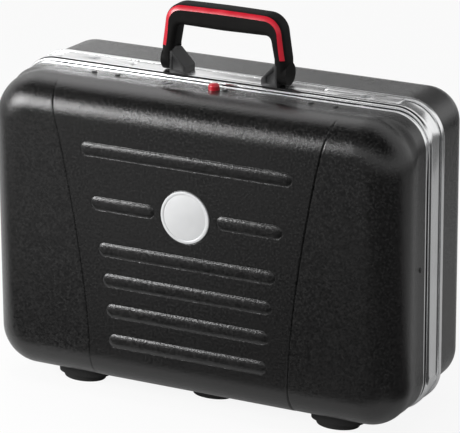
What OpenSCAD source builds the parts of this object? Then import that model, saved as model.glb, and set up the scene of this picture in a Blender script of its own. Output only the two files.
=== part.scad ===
// Hard tool case: two moulded shells riveted into a bent aluminium frame.
// X runs along the case, Y from its front to its back and Z up.
// The origin is on the floor, under the middle of the closed case.

/* [Case] */
// Outside width of the aluminium frame
case_w = 480; // [430:1:560]
// Outside height of the aluminium frame
case_h = 330; // [300:1:400]
// Distance from the middle of the case to the flat of either shell
half_depth = 94.4; // [86:0.2:120]
// Outside radius of the frame's corners
corner_r = 40; // [37:0.5:50]
// Height of the frame's underside above the floor
foot_h = 15; // [12:0.5:19]

/* [Frame section] */
// Thickness of the frame's outer skin at its ribs
skin_t = 4; // [3.6:0.1:5]
// Depth of the channel along the outside of the frame
channel_d = 2; // [1.6:0.1:2.4]
// Front edge of the channel, forward of the middle
channel_front = 11; // [9.5:0.5:12]
// Back edge of the channel, behind the middle
channel_back = 12; // [11:0.5:13]
// Back edge of the base frame, behind the middle
frame_back = 18.8; // [17:0.2:21]
// Front edge of the base frame, forward of the middle
frame_front = 16; // [15:0.2:17]
// Depth of the polished step along the front of the base frame
step_d = 1.8; // [1.2:0.1:2.2]
// Width of the rubber seal between the two frames
seal_w = 3.5; // [2.5:0.1:5]
// Width of the lip of the lid frame
lip_w = 3; // [2:0.1:4]
// How far the lid frame's tongue reaches into the base frame
tongue_l = 11.8; // [8:0.2:13]
// Thickness of the inner flanges, webs and tongue
flange_t = 1.5; // [1.2:0.1:1.8]
// How far the lid frame's sleeve reaches into the lid shell
sleeve_l = 20.7; // [20:0.1:22]

/* [Shells] */
// Thickness of the shell walls
wall_t = 3.5; // [3.1:0.1:4.2]
// How far the lid's rim and lip lie inside the outline of the frame
shell_inset = 2; // [1.6:0.1:2.4]
// How far the body of the base shell lies inside the frame at either side
base_side_in = 6; // [4.5:0.5:6.5]
// How far it lies inside the frame along the bottom
base_foot_in = 5; // [3.5:0.5:6]
// How far the lid body swells out beyond its rim
lid_swell = 1.7; // [0.8:0.1:2.2]
// How much rounder the lid's body is than its rim at the two upper corners
lid_top_more = 12; // [4:0.5:14]
// How much rounder it is at the two lower corners
lid_foot_more = 4; // [2:0.5:12]
// Reach of the rounding round the front of the lid, in from its side
lid_edge_r = 36; // [24:1:37]
// Straight flank between the swell of the lid and its rounding
lid_flank = 6.5; // [3:0.5:14]
// Radius of the rounding round the back of the base
base_edge_r = 28; // [20:1:32]
// Draft of the base shell from its rim to its back rounding
base_draft = 1.5; // [0.5:0.1:2]
// How far the middle panel stands out of either flat
panel_rise = 0.9; // [0.5:0.1:1.5]
// Half width of the panel at its top
panel_top = 155; // [140:1:165]
// Half width of the panel at its foot
panel_foot = 116.5; // [105:0.5:125]

/* [Ribs and badge] */
// Height of a moulded rib
rib_h = 12.5; // [9:0.5:16]
// How far a rib stands out of the panel
rib_rise = 1.7; // [1:0.1:2.5]
// Distance from the edge of the panel to the end of a rib
rib_margin = 25; // [18:1:32]
// Drop from the top of the frame to the top rib
rib_top_drop = 68; // [58:1:74]
// Drop from the top of the frame to the badge
badge_drop = 126; // [118:1:130]
// Drop from the top of the frame to the first of the lower ribs
rib_low_drop = 176; // [174:1:182]
// Spacing of the lower ribs
rib_pitch = 33.5; // [28:0.5:36]
// Number of lower ribs
rib_low_count = 4; // [2:1:4]
// Diameter of the badge
badge_d = 56; // [46:1:62]
// Gap between the badge and the ends of the ribs beside it
badge_gap = 9.5; // [6:0.5:14]

/* [Latches] */
// Length of a latch lever
lever_l = 88; // [80:1:96]
// Distance from the end of the channel's straight to the lever's outer end
lever_gap = 2; // [0.5:0.5:6]
// Thickness of the levers and of the cover plate
plate_t = 1.8; // [1.2:0.1:2]
// Diameter of the head of a lock
lock_head_d = 12; // [10:0.5:12.5]
// Diameter of the barrel of a lock
lock_d = 9; // [7:0.5:9.5]
// Diameter of a latch pin
latch_pin_d = 2; // [1.6:0.1:2.2]
// Width of a latch hook along the case
hook_w = 10; // [6:0.5:14]

/* [Handle] */
// Height of the top of the handle above the frame
handle_h = 75; // [68:1:90]
// Thickness of the grip from top to bottom
grip_h = 23; // [20:0.5:26]
// Half length of the handle outside its legs
handle_half = 73.2; // [70:0.2:90]
// Depth of the handle from front to back
handle_d = 24; // [20:0.5:24]
// Width of a leg of the handle at its pin
leg_w = 14.5; // [13.5:0.5:20]
// Width of the coloured inlay
inlay_w = 5; // [3.5:0.1:6]
// Depth of a handle bracket from front to back
bracket_d = 22; // [18:0.5:22]
// Diameter of a handle pin
handle_pin_d = 5; // [4:0.1:6]

/* [Hinges] */
// Middle of a hinge, from the middle of the case
hinge_x = 75; // [70:1:85]
// Length of a hinge
hinge_l = 60; // [44:1:64]
// Diameter of a hinge knuckle
knuckle_d = 6.4; // [5.6:0.1:6.8]
// Diameter of a hinge pin
hinge_pin_d = 3; // [2.4:0.1:3.6]

/* [Feet] */
// Distance from the end of the case to the middle of an outer foot
foot_end = 88; // [80:1:100]
// Length of an outer foot
foot_l = 60; // [48:1:64]
// Depth of an outer foot from front to back
foot_d = 38; // [30:1:40]
// Length of the foot in the middle
mid_foot_l = 56; // [40:1:60]
// Distance from the middle of the case to the outer feet, front and back
foot_y = 45; // [43:0.5:52]
// Clearance of the foot in the middle above the floor
mid_foot_up = 3; // [1:0.5:4]

/* [Release button] */
// Place of the button along the case
button_x = 2; // [0:0.5:6]
// Diameter of the button
button_d = 12; // [9:0.5:13]
// Travel of the button
button_travel = 2.5; // [1.5:0.1:3]

/* [Hidden] */

// Colours
shell_black = [0.13, 0.13, 0.14];
plastic_black = [0.09, 0.09, 0.1];
bracket_grey = [0.17, 0.17, 0.18];
bright_metal = [0.84, 0.85, 0.86];
steel_grey = [0.6, 0.61, 0.63];
rubber_black = [0.06, 0.06, 0.06];
signal_red = [0.78, 0.1, 0.18];

// Clearances
face_gap = 0.2;     // between a shell's edge and the metal that it fits into
run_gap = 0.3;      // between pieces that slide past each other
bore_gap = 0.05;    // radial, between a turning piece and its bore
seat_gap = 0.01;    // radial, round a pin that stays in its bore
hole_gap = 0.15;    // radial, round a screw or a rivet

// Levels, planes and places. A drop is measured inward from the outside of the frame.
lever_out = case_w / 2 - corner_r - lever_gap;
lever_in = lever_out - lever_l;
foot_x = case_w / 2 - foot_end;
frame_top = foot_h + case_h;
frame_mid = foot_h + case_h / 2;
lid_plane = frame_front + run_gap + seal_w;
shell_plane = lid_plane + lip_w;
plate_drop = channel_d - plate_t;
shell_in = shell_inset + wall_t + 0.6;
flange_drop = shell_in + face_gap;
flange_in = flange_drop + flange_t;
tongue_drop = skin_t + 1.2;
tongue_in = tongue_drop + flange_t;
web_back = frame_back - 9.3;
channel_mid = (channel_back - channel_front) / 2;
panel_front = half_depth + panel_rise;

// Facets of round pieces and of the frame's corners
$fn = 40;
corner_fn = 48;
arc_n = 9;

// ------------------------------------------------------------------ shared forms

// Points of an arc, in order, both ends included
function arc(cx, cy, rx, ry, a0, a1, n) =
    [for (i = [0:n]) [cx + rx * cos(a0 + (a1 - a0) * i / n), cy + ry * sin(a0 + (a1 - a0) * i / n)]];

// Stands up what is drawn lying on its back: y becomes height and z points forward
module stand() {
    translate([0, 0, frame_mid]) rotate([90, 0, 0]) children();
}

// Outlines: how far one lies inside the frame's at the sides, the top and the bottom, and how much
// rounder it is at the upper and the lower corners. The first pair is the frame's own.
flush = [0, 0, 0];
square_set = [0, 0];
lid_more = [lid_top_more, lid_foot_more];
base_inset = [base_side_in - shell_inset, -shell_inset, base_foot_in - shell_inset];
function core_x(inset) = case_w / 2 - corner_r - inset[0];
function core_top(inset) = case_h / 2 - corner_r - inset[1];
function core_low(inset) = corner_r + inset[2] - case_h / 2;

// A straight side of a swept ring: 0 right, 1 top, 2 left, 3 bottom.
// The section is drawn with x outward from the frame's corner centres and y forward.
module side_run(side, inset = flush, more = square_set) {
    out = side == 1 ? core_top(inset) : side == 3 ? -core_low(inset) : core_x(inset);
    top = core_top(inset) - more[0];
    low = core_low(inset) + more[1];
    half = core_x(inset) - (side == 1 ? more[0] : more[1]);
    from = side == 0 ? low : side == 2 ? -top : -half;
    to = side == 0 ? top : side == 2 ? -low : half;
    rotate([0, 0, 90 * side]) translate([out, to, 0])
        rotate([90, 0, 0]) linear_extrude(to - from) children();
}

// A section swept round an outline
module ring(inset = flush, more = square_set) {
    for (side = [0:3]) side_run(side, inset, more) children();
    for (i = [0:3]) {
        extra = more[i < 2 ? 0 : 1];
        translate([(i == 0 || i == 3 ? 1 : -1) * (core_x(inset) - extra),
                   i < 2 ? core_top(inset) - extra : core_low(inset) + extra, 0])
            rotate([0, 0, 90 * i]) rotate_extrude(angle = 90, $fn = corner_fn)
                translate([extra, 0]) children();
    }
}

// The area inside an outline, at a distance out from the corner centres
module area(out, inset = flush, more = square_set) {
    x = core_x(inset) + out;
    top = core_top(inset) + out;
    low = core_low(inset) - out;
    r = [out + more[0], out + more[1]];
    translate([-x, low + r[1]]) square([2 * x, top - low - r[0] - r[1]]);
    translate([-(x - r[0]), 0]) square([2 * (x - r[0]), top]);
    translate([-(x - r[1]), low]) square([2 * (x - r[1]), -low]);
    for (s = [-1, 1]) {
        translate([s * (x - r[0]), top - r[0]]) circle(r[0], $fn = corner_fn);
        translate([s * (x - r[1]), low + r[1]]) circle(r[1], $fn = corner_fn);
    }
}

// Ledge between the rim of a shell and its body, which has another outline. rim and body give the
// distances of their faces, out and in, from the corner centres.
module ledge(from, rim, body, inset, more) {
    translate([0, 0, from]) linear_extrude(wall_t) difference() {
        union() {
            area(rim[0]);
            area(body[0], inset, more);
        }
        intersection() {
            area(rim[1]);
            area(body[1], inset, more);
        }
    }
}

// Carries a piece to a side of the case: z points inward from the outside of the frame
module at_side(side, along, forward) {
    half = side % 2 == 0 ? case_w / 2 : case_h / 2;
    stand() rotate([0, 0, 90 * side]) translate([half, along, forward]) rotate([0, -90, 0]) children();
}

// A straight round bore or pin that starts at the child's z = 0
module rod(d, l) {
    cylinder(d = d, h = l);
}

// A rivet driven from the outside: domed head, shank, and the head formed inside
module rivet(d, head_d, from, to) {
    head_h = 1.2;
    set_h = 1;
    translate([0, 0, from - head_h]) rotate_extrude()
        polygon(concat([[0, head_h]], arc(0, head_h, head_d / 2, head_h, 0, -90, 6)));
    translate([0, 0, from]) rod(d, to - from);
    translate([0, 0, to]) cylinder(d1 = d + 1.8, d2 = d + 0.8, h = set_h);
}

// A bar with round ends along x, lying on the plane z = 0
module round_bar(half_l, h, t) {
    r = h / 2;
    translate([-(half_l - r), -r, 0]) cube([2 * (half_l - r), h, t]);
    for (s = [-1, 1]) translate([s * (half_l - r), 0, 0]) cylinder(r = r, h = t);
}

// Skin over a list of rings of points, each counterclockwise as seen from the next, closed at both
// ends. crossed folds its four-sided faces along their other diagonals.
module loft(rings, crossed = false) {
    n = len(rings[0]);
    m = len(rings);
    sides = [for (i = [0:m - 2], j = [0:n - 1])
        let (a = i * n + j, b = (i + 1) * n + j, c = (i + 1) * n + (j + 1) % n, d = i * n + (j + 1) % n)
            each (crossed ? [[a, b, d], [b, c, d]] : [[a, c, d], [a, b, c]])];
    first = [[for (j = [0:n - 1]) j]];
    last = [[for (j = [n - 1:-1:0]) (m - 1) * n + j]];
    polyhedron(points = [for (r = rings) each r], faces = concat(first, sides, last), convexity = 6);
}

// ------------------------------------------------------------------ shells

// Section of the lid shell's body. grow lifts its rounding and its flat where the panel is.
lid_out = corner_r - shell_inset + lid_swell;
lid_arc_x = lid_out - lid_edge_r;
rim_end = shell_plane + sleeve_l + 2 * face_gap;
swell_end = rim_end + 8;
lid_arc_y = swell_end + lid_flank;
lid_arc_h = half_depth - lid_arc_y;
function lid_skin(grow) = concat(
    [for (i = [0:4]) [corner_r - shell_inset + lid_swell * (1 - cos(45 * i)) / 2,
                      rim_end + (swell_end - rim_end) * i / 4]],
    arc(lid_arc_x, lid_arc_y, lid_edge_r, lid_arc_h + grow, 0, 90, arc_n),
    [[0, half_depth + grow]]);
function lid_core() = concat(
    [[0, half_depth - wall_t]],
    arc(lid_arc_x, lid_arc_y, lid_edge_r - wall_t, lid_arc_h - wall_t, 90, 0, arc_n),
    [[lid_out - wall_t, swell_end], [corner_r - shell_in, rim_end]]);

// Section of the rim of the lid shell, round the sleeve of its frame
module lid_rim_section() {
    polygon([[corner_r - shell_in, shell_plane + face_gap], [corner_r - shell_inset, shell_plane + face_gap],
             [corner_r - shell_inset, rim_end + wall_t], [corner_r - shell_in, rim_end + wall_t]]);
}

// Section of the base shell's body, drawn as if it faced forward
base_out = corner_r - shell_inset - base_draft;
base_arc_x = base_out - base_edge_r;
base_arc_y = half_depth - base_edge_r;
base_rim = frame_back + face_gap;
tongue_edge = web_back + face_gap;
tongue_out = corner_r - skin_t - face_gap;
function base_skin(grow) = concat(
    [[corner_r - shell_inset, base_rim]],
    arc(base_arc_x, base_arc_y, base_edge_r, base_edge_r + grow, 0, 90, arc_n),
    [[0, half_depth + grow]]);
function base_core() = concat(
    [[0, half_depth - wall_t]],
    arc(base_arc_x, base_arc_y, base_edge_r - wall_t, base_edge_r - wall_t, 90, 0, arc_n),
    [[corner_r - shell_in, base_rim + wall_t], [corner_r - shell_in, base_rim]]);

// Section of the base shell's tongue, which stands in the groove of its frame
module tongue_section() {
    polygon([[corner_r - shell_in, tongue_edge], [tongue_out, tongue_edge],
             [tongue_out, base_rim + wall_t], [corner_r - shell_in, base_rim + wall_t]]);
}

// The flat inside the swept ring
module flat(grow, inset, more) {
    translate([0, 0, half_depth - wall_t]) linear_extrude(wall_t + grow) area(0.5, inset, more);
}

// Half width of the middle panel at a drop below the top of the frame
panel_high = 30;
panel_low = 290;
function panel_half(drop) = panel_foot
    + (panel_top - panel_foot) * pow(max(0, (panel_low - drop) / (panel_low - panel_high)), 1.5);

// Outline of the middle panel, over the whole height of the case
module panel_outline() {
    steps = 12;
    right = [for (i = [0:steps]) [panel_half(case_h * i / steps), case_h / 2 - case_h * i / steps]];
    left = [for (i = [steps:-1:0]) [-right[i][0], right[i][1]]];
    polygon(concat(right, left));
}

// The body of a shell lying on its back, with its raised panel
module shell_body(plain, raised, inset, more) {
    ring(inset, more) polygon(plain);
    flat(0, inset, more);
    intersection() {
        union() {
            for (side = [1, 3]) side_run(side, inset, more) polygon(raised);
            flat(panel_rise, inset, more);
        }
        linear_extrude(panel_front + 1) panel_outline();
    }
}

// A rib at a drop below the top of the frame, from one distance from the middle to another
module rib(drop, from, to) {
    root = half_depth - 1;
    translate([0, case_h / 2 - drop, root]) {
        if (from == 0) round_bar(to, rib_h, panel_front + rib_rise - root);
        else for (s = [-1, 1])
            translate([s * (from + to) / 2, 0, 0])
                round_bar((to - from) / 2, rib_h, panel_front + rib_rise - root);
    }
}

// The ribs of a shell. middle is where the second rib starts beside the badge.
module ribs(middle) {
    rib(rib_top_drop, 0, panel_half(rib_top_drop) - rib_margin);
    rib(badge_drop, middle, panel_half(badge_drop) - rib_margin);
    for (i = [0:rib_low_count - 1]) {
        drop = rib_low_drop + i * rib_pitch;
        rib(drop, 0, panel_half(drop) - rib_margin);
    }
}

badge_seat = 1;
module lid_shell() {
    color(shell_black) difference() {
        stand() difference() {
            union() {
                shell_body(concat(lid_skin(0), lid_core()), concat(lid_skin(panel_rise), lid_core()),
                           flush, lid_more);
                ring() lid_rim_section();
                ledge(rim_end, [corner_r - shell_inset, corner_r - shell_in],
                      [corner_r - shell_inset, corner_r - shell_in], flush, lid_more);
                ribs(badge_d / 2 + badge_gap);
            }
            translate([0, case_h / 2 - badge_drop, panel_front - badge_seat])
                cylinder(d = badge_d + 2 * run_gap, h = 5);
        }
        lid_rivet_places() rod(rivet_d + 2 * hole_gap, 2 * shell_in);
        lid_hinge_rivet_places() rod(rivet_d + 2 * hole_gap, 2 * shell_in);
        button_place() rod(button_d + 2 * run_gap, 2 * shell_in);
        lid_foot_places() rod(foot_screw_d + 2 * hole_gap, foot_h + 2 * shell_in);
    }
}

module base_shell() {
    color(shell_black) difference() {
        mirror([0, 1, 0]) stand() {
            shell_body(concat(base_skin(0), base_core()), concat(base_skin(panel_rise), base_core()),
                       base_inset, square_set);
            ring() tongue_section();
            ledge(base_rim, [tongue_out, corner_r - shell_in],
                  [corner_r - shell_inset, corner_r - shell_in], base_inset, square_set);
            ribs(0);
        }
        base_rivet_places() rod(rivet_d + 2 * hole_gap, 2 * shell_in);
        base_foot_places() rod(foot_screw_d + 2 * hole_gap, foot_h + 2 * shell_in);
    }
}

module badge() {
    badge_t = 2.4;
    rim_w = 2;
    dish = 0.5;
    color([0.9, 0.9, 0.91]) stand() translate([0, case_h / 2 - badge_drop, panel_front - badge_seat])
        rotate_extrude($fn = 72) polygon([
            [0, 0], [badge_d / 2, 0], [badge_d / 2, badge_t - 0.6], [badge_d / 2 - 0.8, badge_t],
            [badge_d / 2 - rim_w, badge_t], [badge_d / 2 - rim_w - dish, badge_t - dish],
            [0, badge_t - dish]]);
}

// ------------------------------------------------------------------ frames and seal

// Section of the base frame: skin with its channel, web, and groove for the shell
module base_frame_section() {
    r = corner_r;
    polygon(concat(
        [[r - 0.6, -frame_back], [r, -frame_back + 0.6], [r, -channel_back],
         [r - channel_d, -channel_back], [r - channel_d, channel_front], [r, channel_front]],
        [for (i = [0:5]) [r - step_d * (1 - cos(36 * i)) / 2, channel_front + 1.6 + 2.2 * i / 5]],
        [[r - step_d, frame_front - 0.4], [r - step_d - 0.4, frame_front], [r - skin_t, frame_front],
         [r - skin_t, -web_back + flange_t], [r - flange_in, -web_back + flange_t],
         [r - flange_in, -frame_back], [r - flange_drop, -frame_back], [r - flange_drop, -web_back],
         [r - skin_t, -web_back], [r - skin_t, -frame_back]]));
}

module base_frame() {
    color(bright_metal) difference() {
        stand() ring() base_frame_section();
        for (s = [-1, 1]) {
            latch_pin_hole(s);
            lever_pocket(s);
        }
        bracket_screw_places() rod(screw_d + 2 * hole_gap, screw_head_t + skin_t + plate_t);
        base_hinge_rivet_places() rod(rivet_d + 2 * hole_gap, 2 * skin_t);
        base_rivet_places() rod(rivet_d + 2 * hole_gap, 2 * flange_in);
    }
}

// Section of the lid frame: lip, tongue into the base frame and sleeve into the lid shell
module lid_frame_section() {
    r = corner_r;
    polygon([
        [r - shell_inset - 0.4, lid_plane], [r - shell_inset, lid_plane + 0.5],
        [r - shell_inset, shell_plane - 0.5], [r - shell_inset - 0.4, shell_plane],
        [r - flange_drop, shell_plane], [r - flange_drop, shell_plane + sleeve_l],
        [r - flange_in, shell_plane + sleeve_l], [r - flange_in, lid_plane],
        [r - tongue_in, lid_plane], [r - tongue_in, lid_plane - tongue_l],
        [r - tongue_drop, lid_plane - tongue_l], [r - tongue_drop, lid_plane]]);
}

module lid_frame() {
    color(bright_metal) difference() {
        stand() ring() lid_frame_section();
        lid_rivet_places() rod(rivet_d + 2 * hole_gap, 2 * flange_in);
        lid_hinge_rivet_places() rod(rivet_d + 2 * hole_gap, 2 * flange_in);
        button_place() rod(button_d + 2 * run_gap, 2 * flange_in);
        lid_foot_places() rod(foot_screw_d + 2 * hole_gap, foot_h + 2 * flange_in);
        for (s = [-1, 1]) keeper_rivet_places(s) rod(keeper_rivet_d + 2 * hole_gap, 2 * flange_in);
    }
}

// Rubber seal on the lid frame's lip, with a hollow bead towards the base frame
module lid_seal() {
    top = corner_r - shell_inset - 0.6;
    low = corner_r - tongue_drop + 0.4;
    color(rubber_black) stand() ring() polygon([
        [low, lid_plane], [top, lid_plane], [top, lid_plane - 0.5 * seal_w],
        [top - 0.5, lid_plane - seal_w], [low + 0.5, lid_plane - seal_w], [low, lid_plane - 0.5 * seal_w]]);
}

// ------------------------------------------------------------------ fasteners of shells and frames

rivet_d = 3.6;
rivet_head_d = 6.4;
rivet_rows = [lever_in + 3, lever_in + 31];
lid_rivet_y = shell_plane + 9.5;
housing_flange_t = 1.4;

module lid_rivet_places() {
    for (x = rivet_rows, s = [-1, 1]) at_side(1, s * x, lid_rivet_y) children();
    for (side = [0, 2]) at_side(side, 0, lid_rivet_y) children();
    at_side(1, -(button_x + button_rivet_gap), lid_rivet_y) children();
}

module lid_rivets() {
    color(plastic_black) {
        for (x = rivet_rows, s = [-1, 1]) at_side(1, s * x, lid_rivet_y)
            rivet(rivet_d, rivet_head_d, shell_inset, flange_in);
        for (side = [0, 2]) at_side(side, 0, lid_rivet_y)
            rivet(rivet_d, rivet_head_d, shell_inset, flange_in);
        at_side(1, -(button_x + button_rivet_gap), lid_rivet_y)
            rivet(rivet_d, rivet_head_d, shell_inset, flange_in + housing_flange_t);
    }
}

// Rivets that hold the base shell's edge in the groove, set from the inside
base_rivet_y = -(web_back + frame_back) / 2 - 0.4;
base_rivet_spread = 0.31;
module base_rivet_places() {
    for (side = [1, 3], s = [-1, 1]) at_side(side, s * base_rivet_spread * case_w, base_rivet_y)
        translate([0, 0, skin_t + face_gap]) children();
    for (side = [0, 2], s = [-1, 1]) at_side(side, s * base_rivet_spread * case_h / 2, base_rivet_y)
        translate([0, 0, skin_t + face_gap]) children();
}

module base_shell_rivets() {
    shank = flange_in - skin_t - face_gap;
    color(steel_grey) base_rivet_places() {
        rod(rivet_d, shank);
        translate([0, 0, shank]) cylinder(d1 = rivet_head_d, d2 = rivet_head_d - 1.6, h = 1.2);
    }
}

// ------------------------------------------------------------------ latches

lever_half_d = (channel_front + channel_back) / 2 - run_gap;
knuckle_r = plate_t;
lever_pivot = lever_out - knuckle_r;
lever_level = frame_top - channel_d;
lock_x = (lever_in + lever_out) / 2 + 5;
lock_housing_d = 13;
lock_bottom = 8;
hook_x = lever_in + 17;
hook_back = channel_mid + 1.5;
hook_d = 6;
keeper_drop = tongue_in;
hook_lift = 0.9;    // the hook stops short of its keeper, which could not swing out past it
scoop_r = 11.4;
scoop_d = 0.8;
scoop_l = 4;

// Mirrors a piece drawn on the right: side is 1 on the right and -1 on the left
module latch_side(side) {
    mirror([side < 0 ? 1 : 0, 0, 0]) children();
}

module latch_pin_hole(side) {
    latch_side(side) translate([lever_pivot, -channel_front - 1.8, lever_level])
        rotate([-90, 0, 0]) rod(latch_pin_d + 2 * seat_gap, frame_back + channel_front + 10);
}

module latch_pin(side) {
    color(steel_grey) latch_side(side) translate([lever_pivot, -channel_front - 1.6, lever_level])
        rotate([-90, 0, 0]) rod(latch_pin_d, frame_back + channel_front + 1);
}

// Openings in the channel's floor for the lever's knuckle, lock and hook
module lever_pocket(side) {
    lock_slack = 1.3;
    hook_slack = 0.8;
    over = 0.5;
    floor_cut = skin_t - channel_d + 2 * over;
    latch_side(side) translate([0, 0, frame_top - skin_t - over]) {
        translate([lever_pivot - knuckle_r - run_gap, -channel_front, 0])
            cube([2 * (knuckle_r + run_gap), channel_front + channel_back, skin_t + 2 * over]);
        translate([lock_x - lock_housing_d / 2 - lock_slack, channel_mid - lock_housing_d / 2 - 1, 0])
            cube([lock_housing_d + 2 * lock_slack, lock_housing_d + 2, floor_cut]);
        translate([hook_x - hook_w / 2 - hook_slack, hook_back - hook_d - hook_slack, 0])
            cube([hook_w + 2 * hook_slack, hook_d + 2 * hook_slack, floor_cut]);
    }
}

// Flat lever in the channel, hinged at its outer end, with a thumb scoop at the other
module latch_lever(side) {
    color(bright_metal) latch_side(side) translate([0, channel_mid, lever_level]) difference() {
        union() {
            translate([lever_in + run_gap, -lever_half_d, 0])
                cube([lever_pivot - lever_in - run_gap, 2 * lever_half_d, plate_t]);
            translate([lever_pivot, lever_half_d, 0]) rotate([90, 0, 0])
                cylinder(r = knuckle_r, h = 2 * lever_half_d);
        }
        translate([lever_pivot, lever_half_d + 1, 0]) rotate([90, 0, 0])
            rod(latch_pin_d + 2 * bore_gap, 2 * lever_half_d + 2);
        translate([lock_x, 0, -1]) rod(lock_head_d + 2 * bore_gap, plate_t + 2);
        translate([lever_in - 1, 0, plate_t + scoop_r - scoop_d]) rotate([0, 90, 0])
            cylinder(r = scoop_r, h = scoop_l + 1);
    }
}

module latch_hook(side) {
    tip = keeper_drop - hook_lift - channel_d;
    color(steel_grey) latch_side(side)
        translate([hook_x - hook_w / 2, hook_back, lever_level]) rotate([90, 0, 90])
            linear_extrude(hook_w) polygon([
                [0, 0], [-hook_d, 0], [-hook_d, -tip + 1.6],
                [-hook_d + 1.6, -tip], [-0.6, -tip], [0, -tip + 0.6]]);
}

module lock_housing(side) {
    bottom = lock_bottom - channel_d;
    color(steel_grey) latch_side(side) translate([lock_x, channel_mid, lever_level - bottom]) difference() {
        rod(lock_housing_d, bottom);
        translate([0, 0, -1]) rod(lock_d + 2 * bore_gap, bottom + 2);
    }
}

// Lock cylinder: keyed head in the lever, barrel in the housing, and a collar under it
module lock_cylinder(side) {
    bottom = lock_bottom - channel_d;
    collar_h = 0.8;
    key_w = 1.4;
    key_l = 6;
    color(bright_metal) latch_side(side) translate([lock_x, channel_mid, lever_level]) difference() {
        union() {
            rod(lock_head_d, plate_t);
            translate([0, 0, -bottom - collar_h]) rod(lock_d, bottom + collar_h);
            translate([0, 0, -bottom - collar_h - 0.05]) rod(lock_d + 2, collar_h);
        }
        translate([-key_w / 2, -key_l / 2, plate_t - 1.2]) cube([key_w, key_l, 2]);
        translate([0, -key_l / 2 + 1, plate_t - 1.2]) rod(2.4, 2);
        translate([0, 0, plate_t - 0.5]) difference() {
            rod(lock_head_d - 2, 1);
            translate([0, 0, -1]) rod(lock_head_d - 3, 3);
        }
    }
}

// Steel keeper under the lid frame's tongue, with a window for the hook
keeper_t = 1.5;
keeper_w = hook_w + 10;
keeper_rivet_d = 2.4;
keeper_end = hook_back + 3;
module lid_keeper(side) {
    window = 0.8;
    color(steel_grey) latch_side(side)
        translate([hook_x - keeper_w / 2, -lid_plane, frame_top - keeper_drop - keeper_t]) difference() {
            cube([keeper_w, lid_plane + keeper_end, keeper_t]);
            translate([keeper_w / 2 - hook_w / 2 - window, lid_plane + hook_back - hook_d - window, -1])
                cube([hook_w + 2 * window, hook_d + 2 * window, keeper_t + 2]);
            for (s = [-1, 1]) translate([keeper_w / 2 + s * keeper_w / 4, 0.45 * tongue_l, -1])
                rod(keeper_rivet_d + 2 * hole_gap, keeper_t + 2);
        }
}

module keeper_rivet_places(side) {
    latch_side(side) for (s = [-1, 1])
        translate([hook_x + s * keeper_w / 4, 0.45 * tongue_l - lid_plane, frame_top - tongue_drop])
            mirror([0, 0, 1]) children();
}

module keeper_rivets() {
    grip = flange_t + keeper_t;
    color(steel_grey) for (side = [-1, 1]) keeper_rivet_places(side) {
        rod(keeper_rivet_d, grip);
        translate([0, 0, -0.6]) cylinder(d1 = keeper_rivet_d + 0.6, d2 = keeper_rivet_d + 1.6, h = 0.6);
        translate([0, 0, grip]) cylinder(d1 = keeper_rivet_d + 1.6, d2 = keeper_rivet_d + 0.6, h = 0.7);
    }
}

// ------------------------------------------------------------------ cover plate and handle

screw_d = 4;
screw_head_d = 7.4;
screw_head_t = 2.4;  // with its clearance under the frame
screw_in = 5;       // from the inner end of a bracket to its first screw
screw_pitch = 9;
bracket_out = handle_half - 10.2;
bracket_in = bracket_out - 18.5;
bracket_h = 27.5;
bracket_toe = 7;
pivot_r = handle_d / 2;
pivot_h = pivot_r + 0.5;
pivot_z = frame_top + pivot_h;
bracket_r = bracket_h - pivot_h;
bracket_base = frame_top - plate_drop;

module cover_plate() {
    color(bright_metal) difference() {
        translate([-lever_in, channel_mid - lever_half_d, lever_level])
            cube([2 * lever_in, 2 * lever_half_d, plate_t]);
        bracket_screw_places() rod(screw_d + 2 * hole_gap, screw_head_t + skin_t + plate_t);
    }
}

// Screw axes, upward from under the frame's skin
module bracket_screw_places() {
    for (s = [-1, 1], i = [0, 1])
        translate([s * (bracket_in + screw_in + i * screw_pitch), channel_mid,
                   frame_top - skin_t - screw_head_t]) children();
}

// Wedge that carries the handle: it rises outward and is round about the pin
module handle_bracket(side) {
    slope_end = bracket_out - 3;
    color(bracket_grey) latch_side(side) difference() {
        intersection() {
            translate([0, channel_mid + bracket_d / 2, bracket_base]) rotate([90, 0, 0])
                linear_extrude(bracket_d) polygon([
                    [bracket_out, 0], [bracket_out, bracket_h + 1], [slope_end, bracket_h - 4],
                    [bracket_in, bracket_toe], [bracket_in, 0]]);
            union() {
                translate([bracket_in - 1, channel_mid, pivot_z]) rotate([0, 90, 0])
                    cylinder(r = bracket_r, h = bracket_out - bracket_in + 2, $fn = 72);
                translate([bracket_in - 1, channel_mid - bracket_d / 2 - 1, bracket_base - 1])
                    cube([bracket_out - bracket_in + 2, bracket_d + 2, pivot_h + 1]);
            }
        }
        translate([bracket_out - pin_seat, channel_mid, pivot_z]) rotate([0, 90, 0])
            rod(handle_pin_d + 2 * seat_gap, pin_seat + 1);
        for (i = [0, 1])
            translate([bracket_in + screw_in + i * screw_pitch, channel_mid, bracket_base - 1])
                rod(screw_d + 2 * seat_gap, screw_bite + 1.5);
        // Sunk field on the front and the back
        for (s = [-1, 1])
            translate([0, channel_mid + s * bracket_d / 2, bracket_base]) rotate([90, 0, 0])
                linear_extrude(1.2, center = true) polygon([
                    [bracket_out - 3, 3], [bracket_out - 3, bracket_h - 10], [bracket_in + 6, 9],
                    [bracket_in + 6, 3]]);
    }
}

// Pins on which the handle swings
pin_seat = 8;
pin_in = bracket_out - pin_seat + 0.2;
module handle_pins() {
    color(steel_grey) for (side = [-1, 1])
        latch_side(side) translate([pin_in, channel_mid, pivot_z]) rotate([0, 90, 0])
            rod(handle_pin_d, handle_half - 3 - pin_in);
}

screw_bite = 7;
module bracket_screws() {
    head_h = 2.2;
    color(steel_grey) bracket_screw_places() difference() {
        union() {
            translate([0, 0, screw_head_t - head_h]) rod(screw_head_d, head_h);
            translate([0, 0, screw_head_t]) rod(screw_d, skin_t - plate_drop + screw_bite);
        }
        cylinder(d = 3, h = 1.4, $fn = 6);
    }
}

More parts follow.
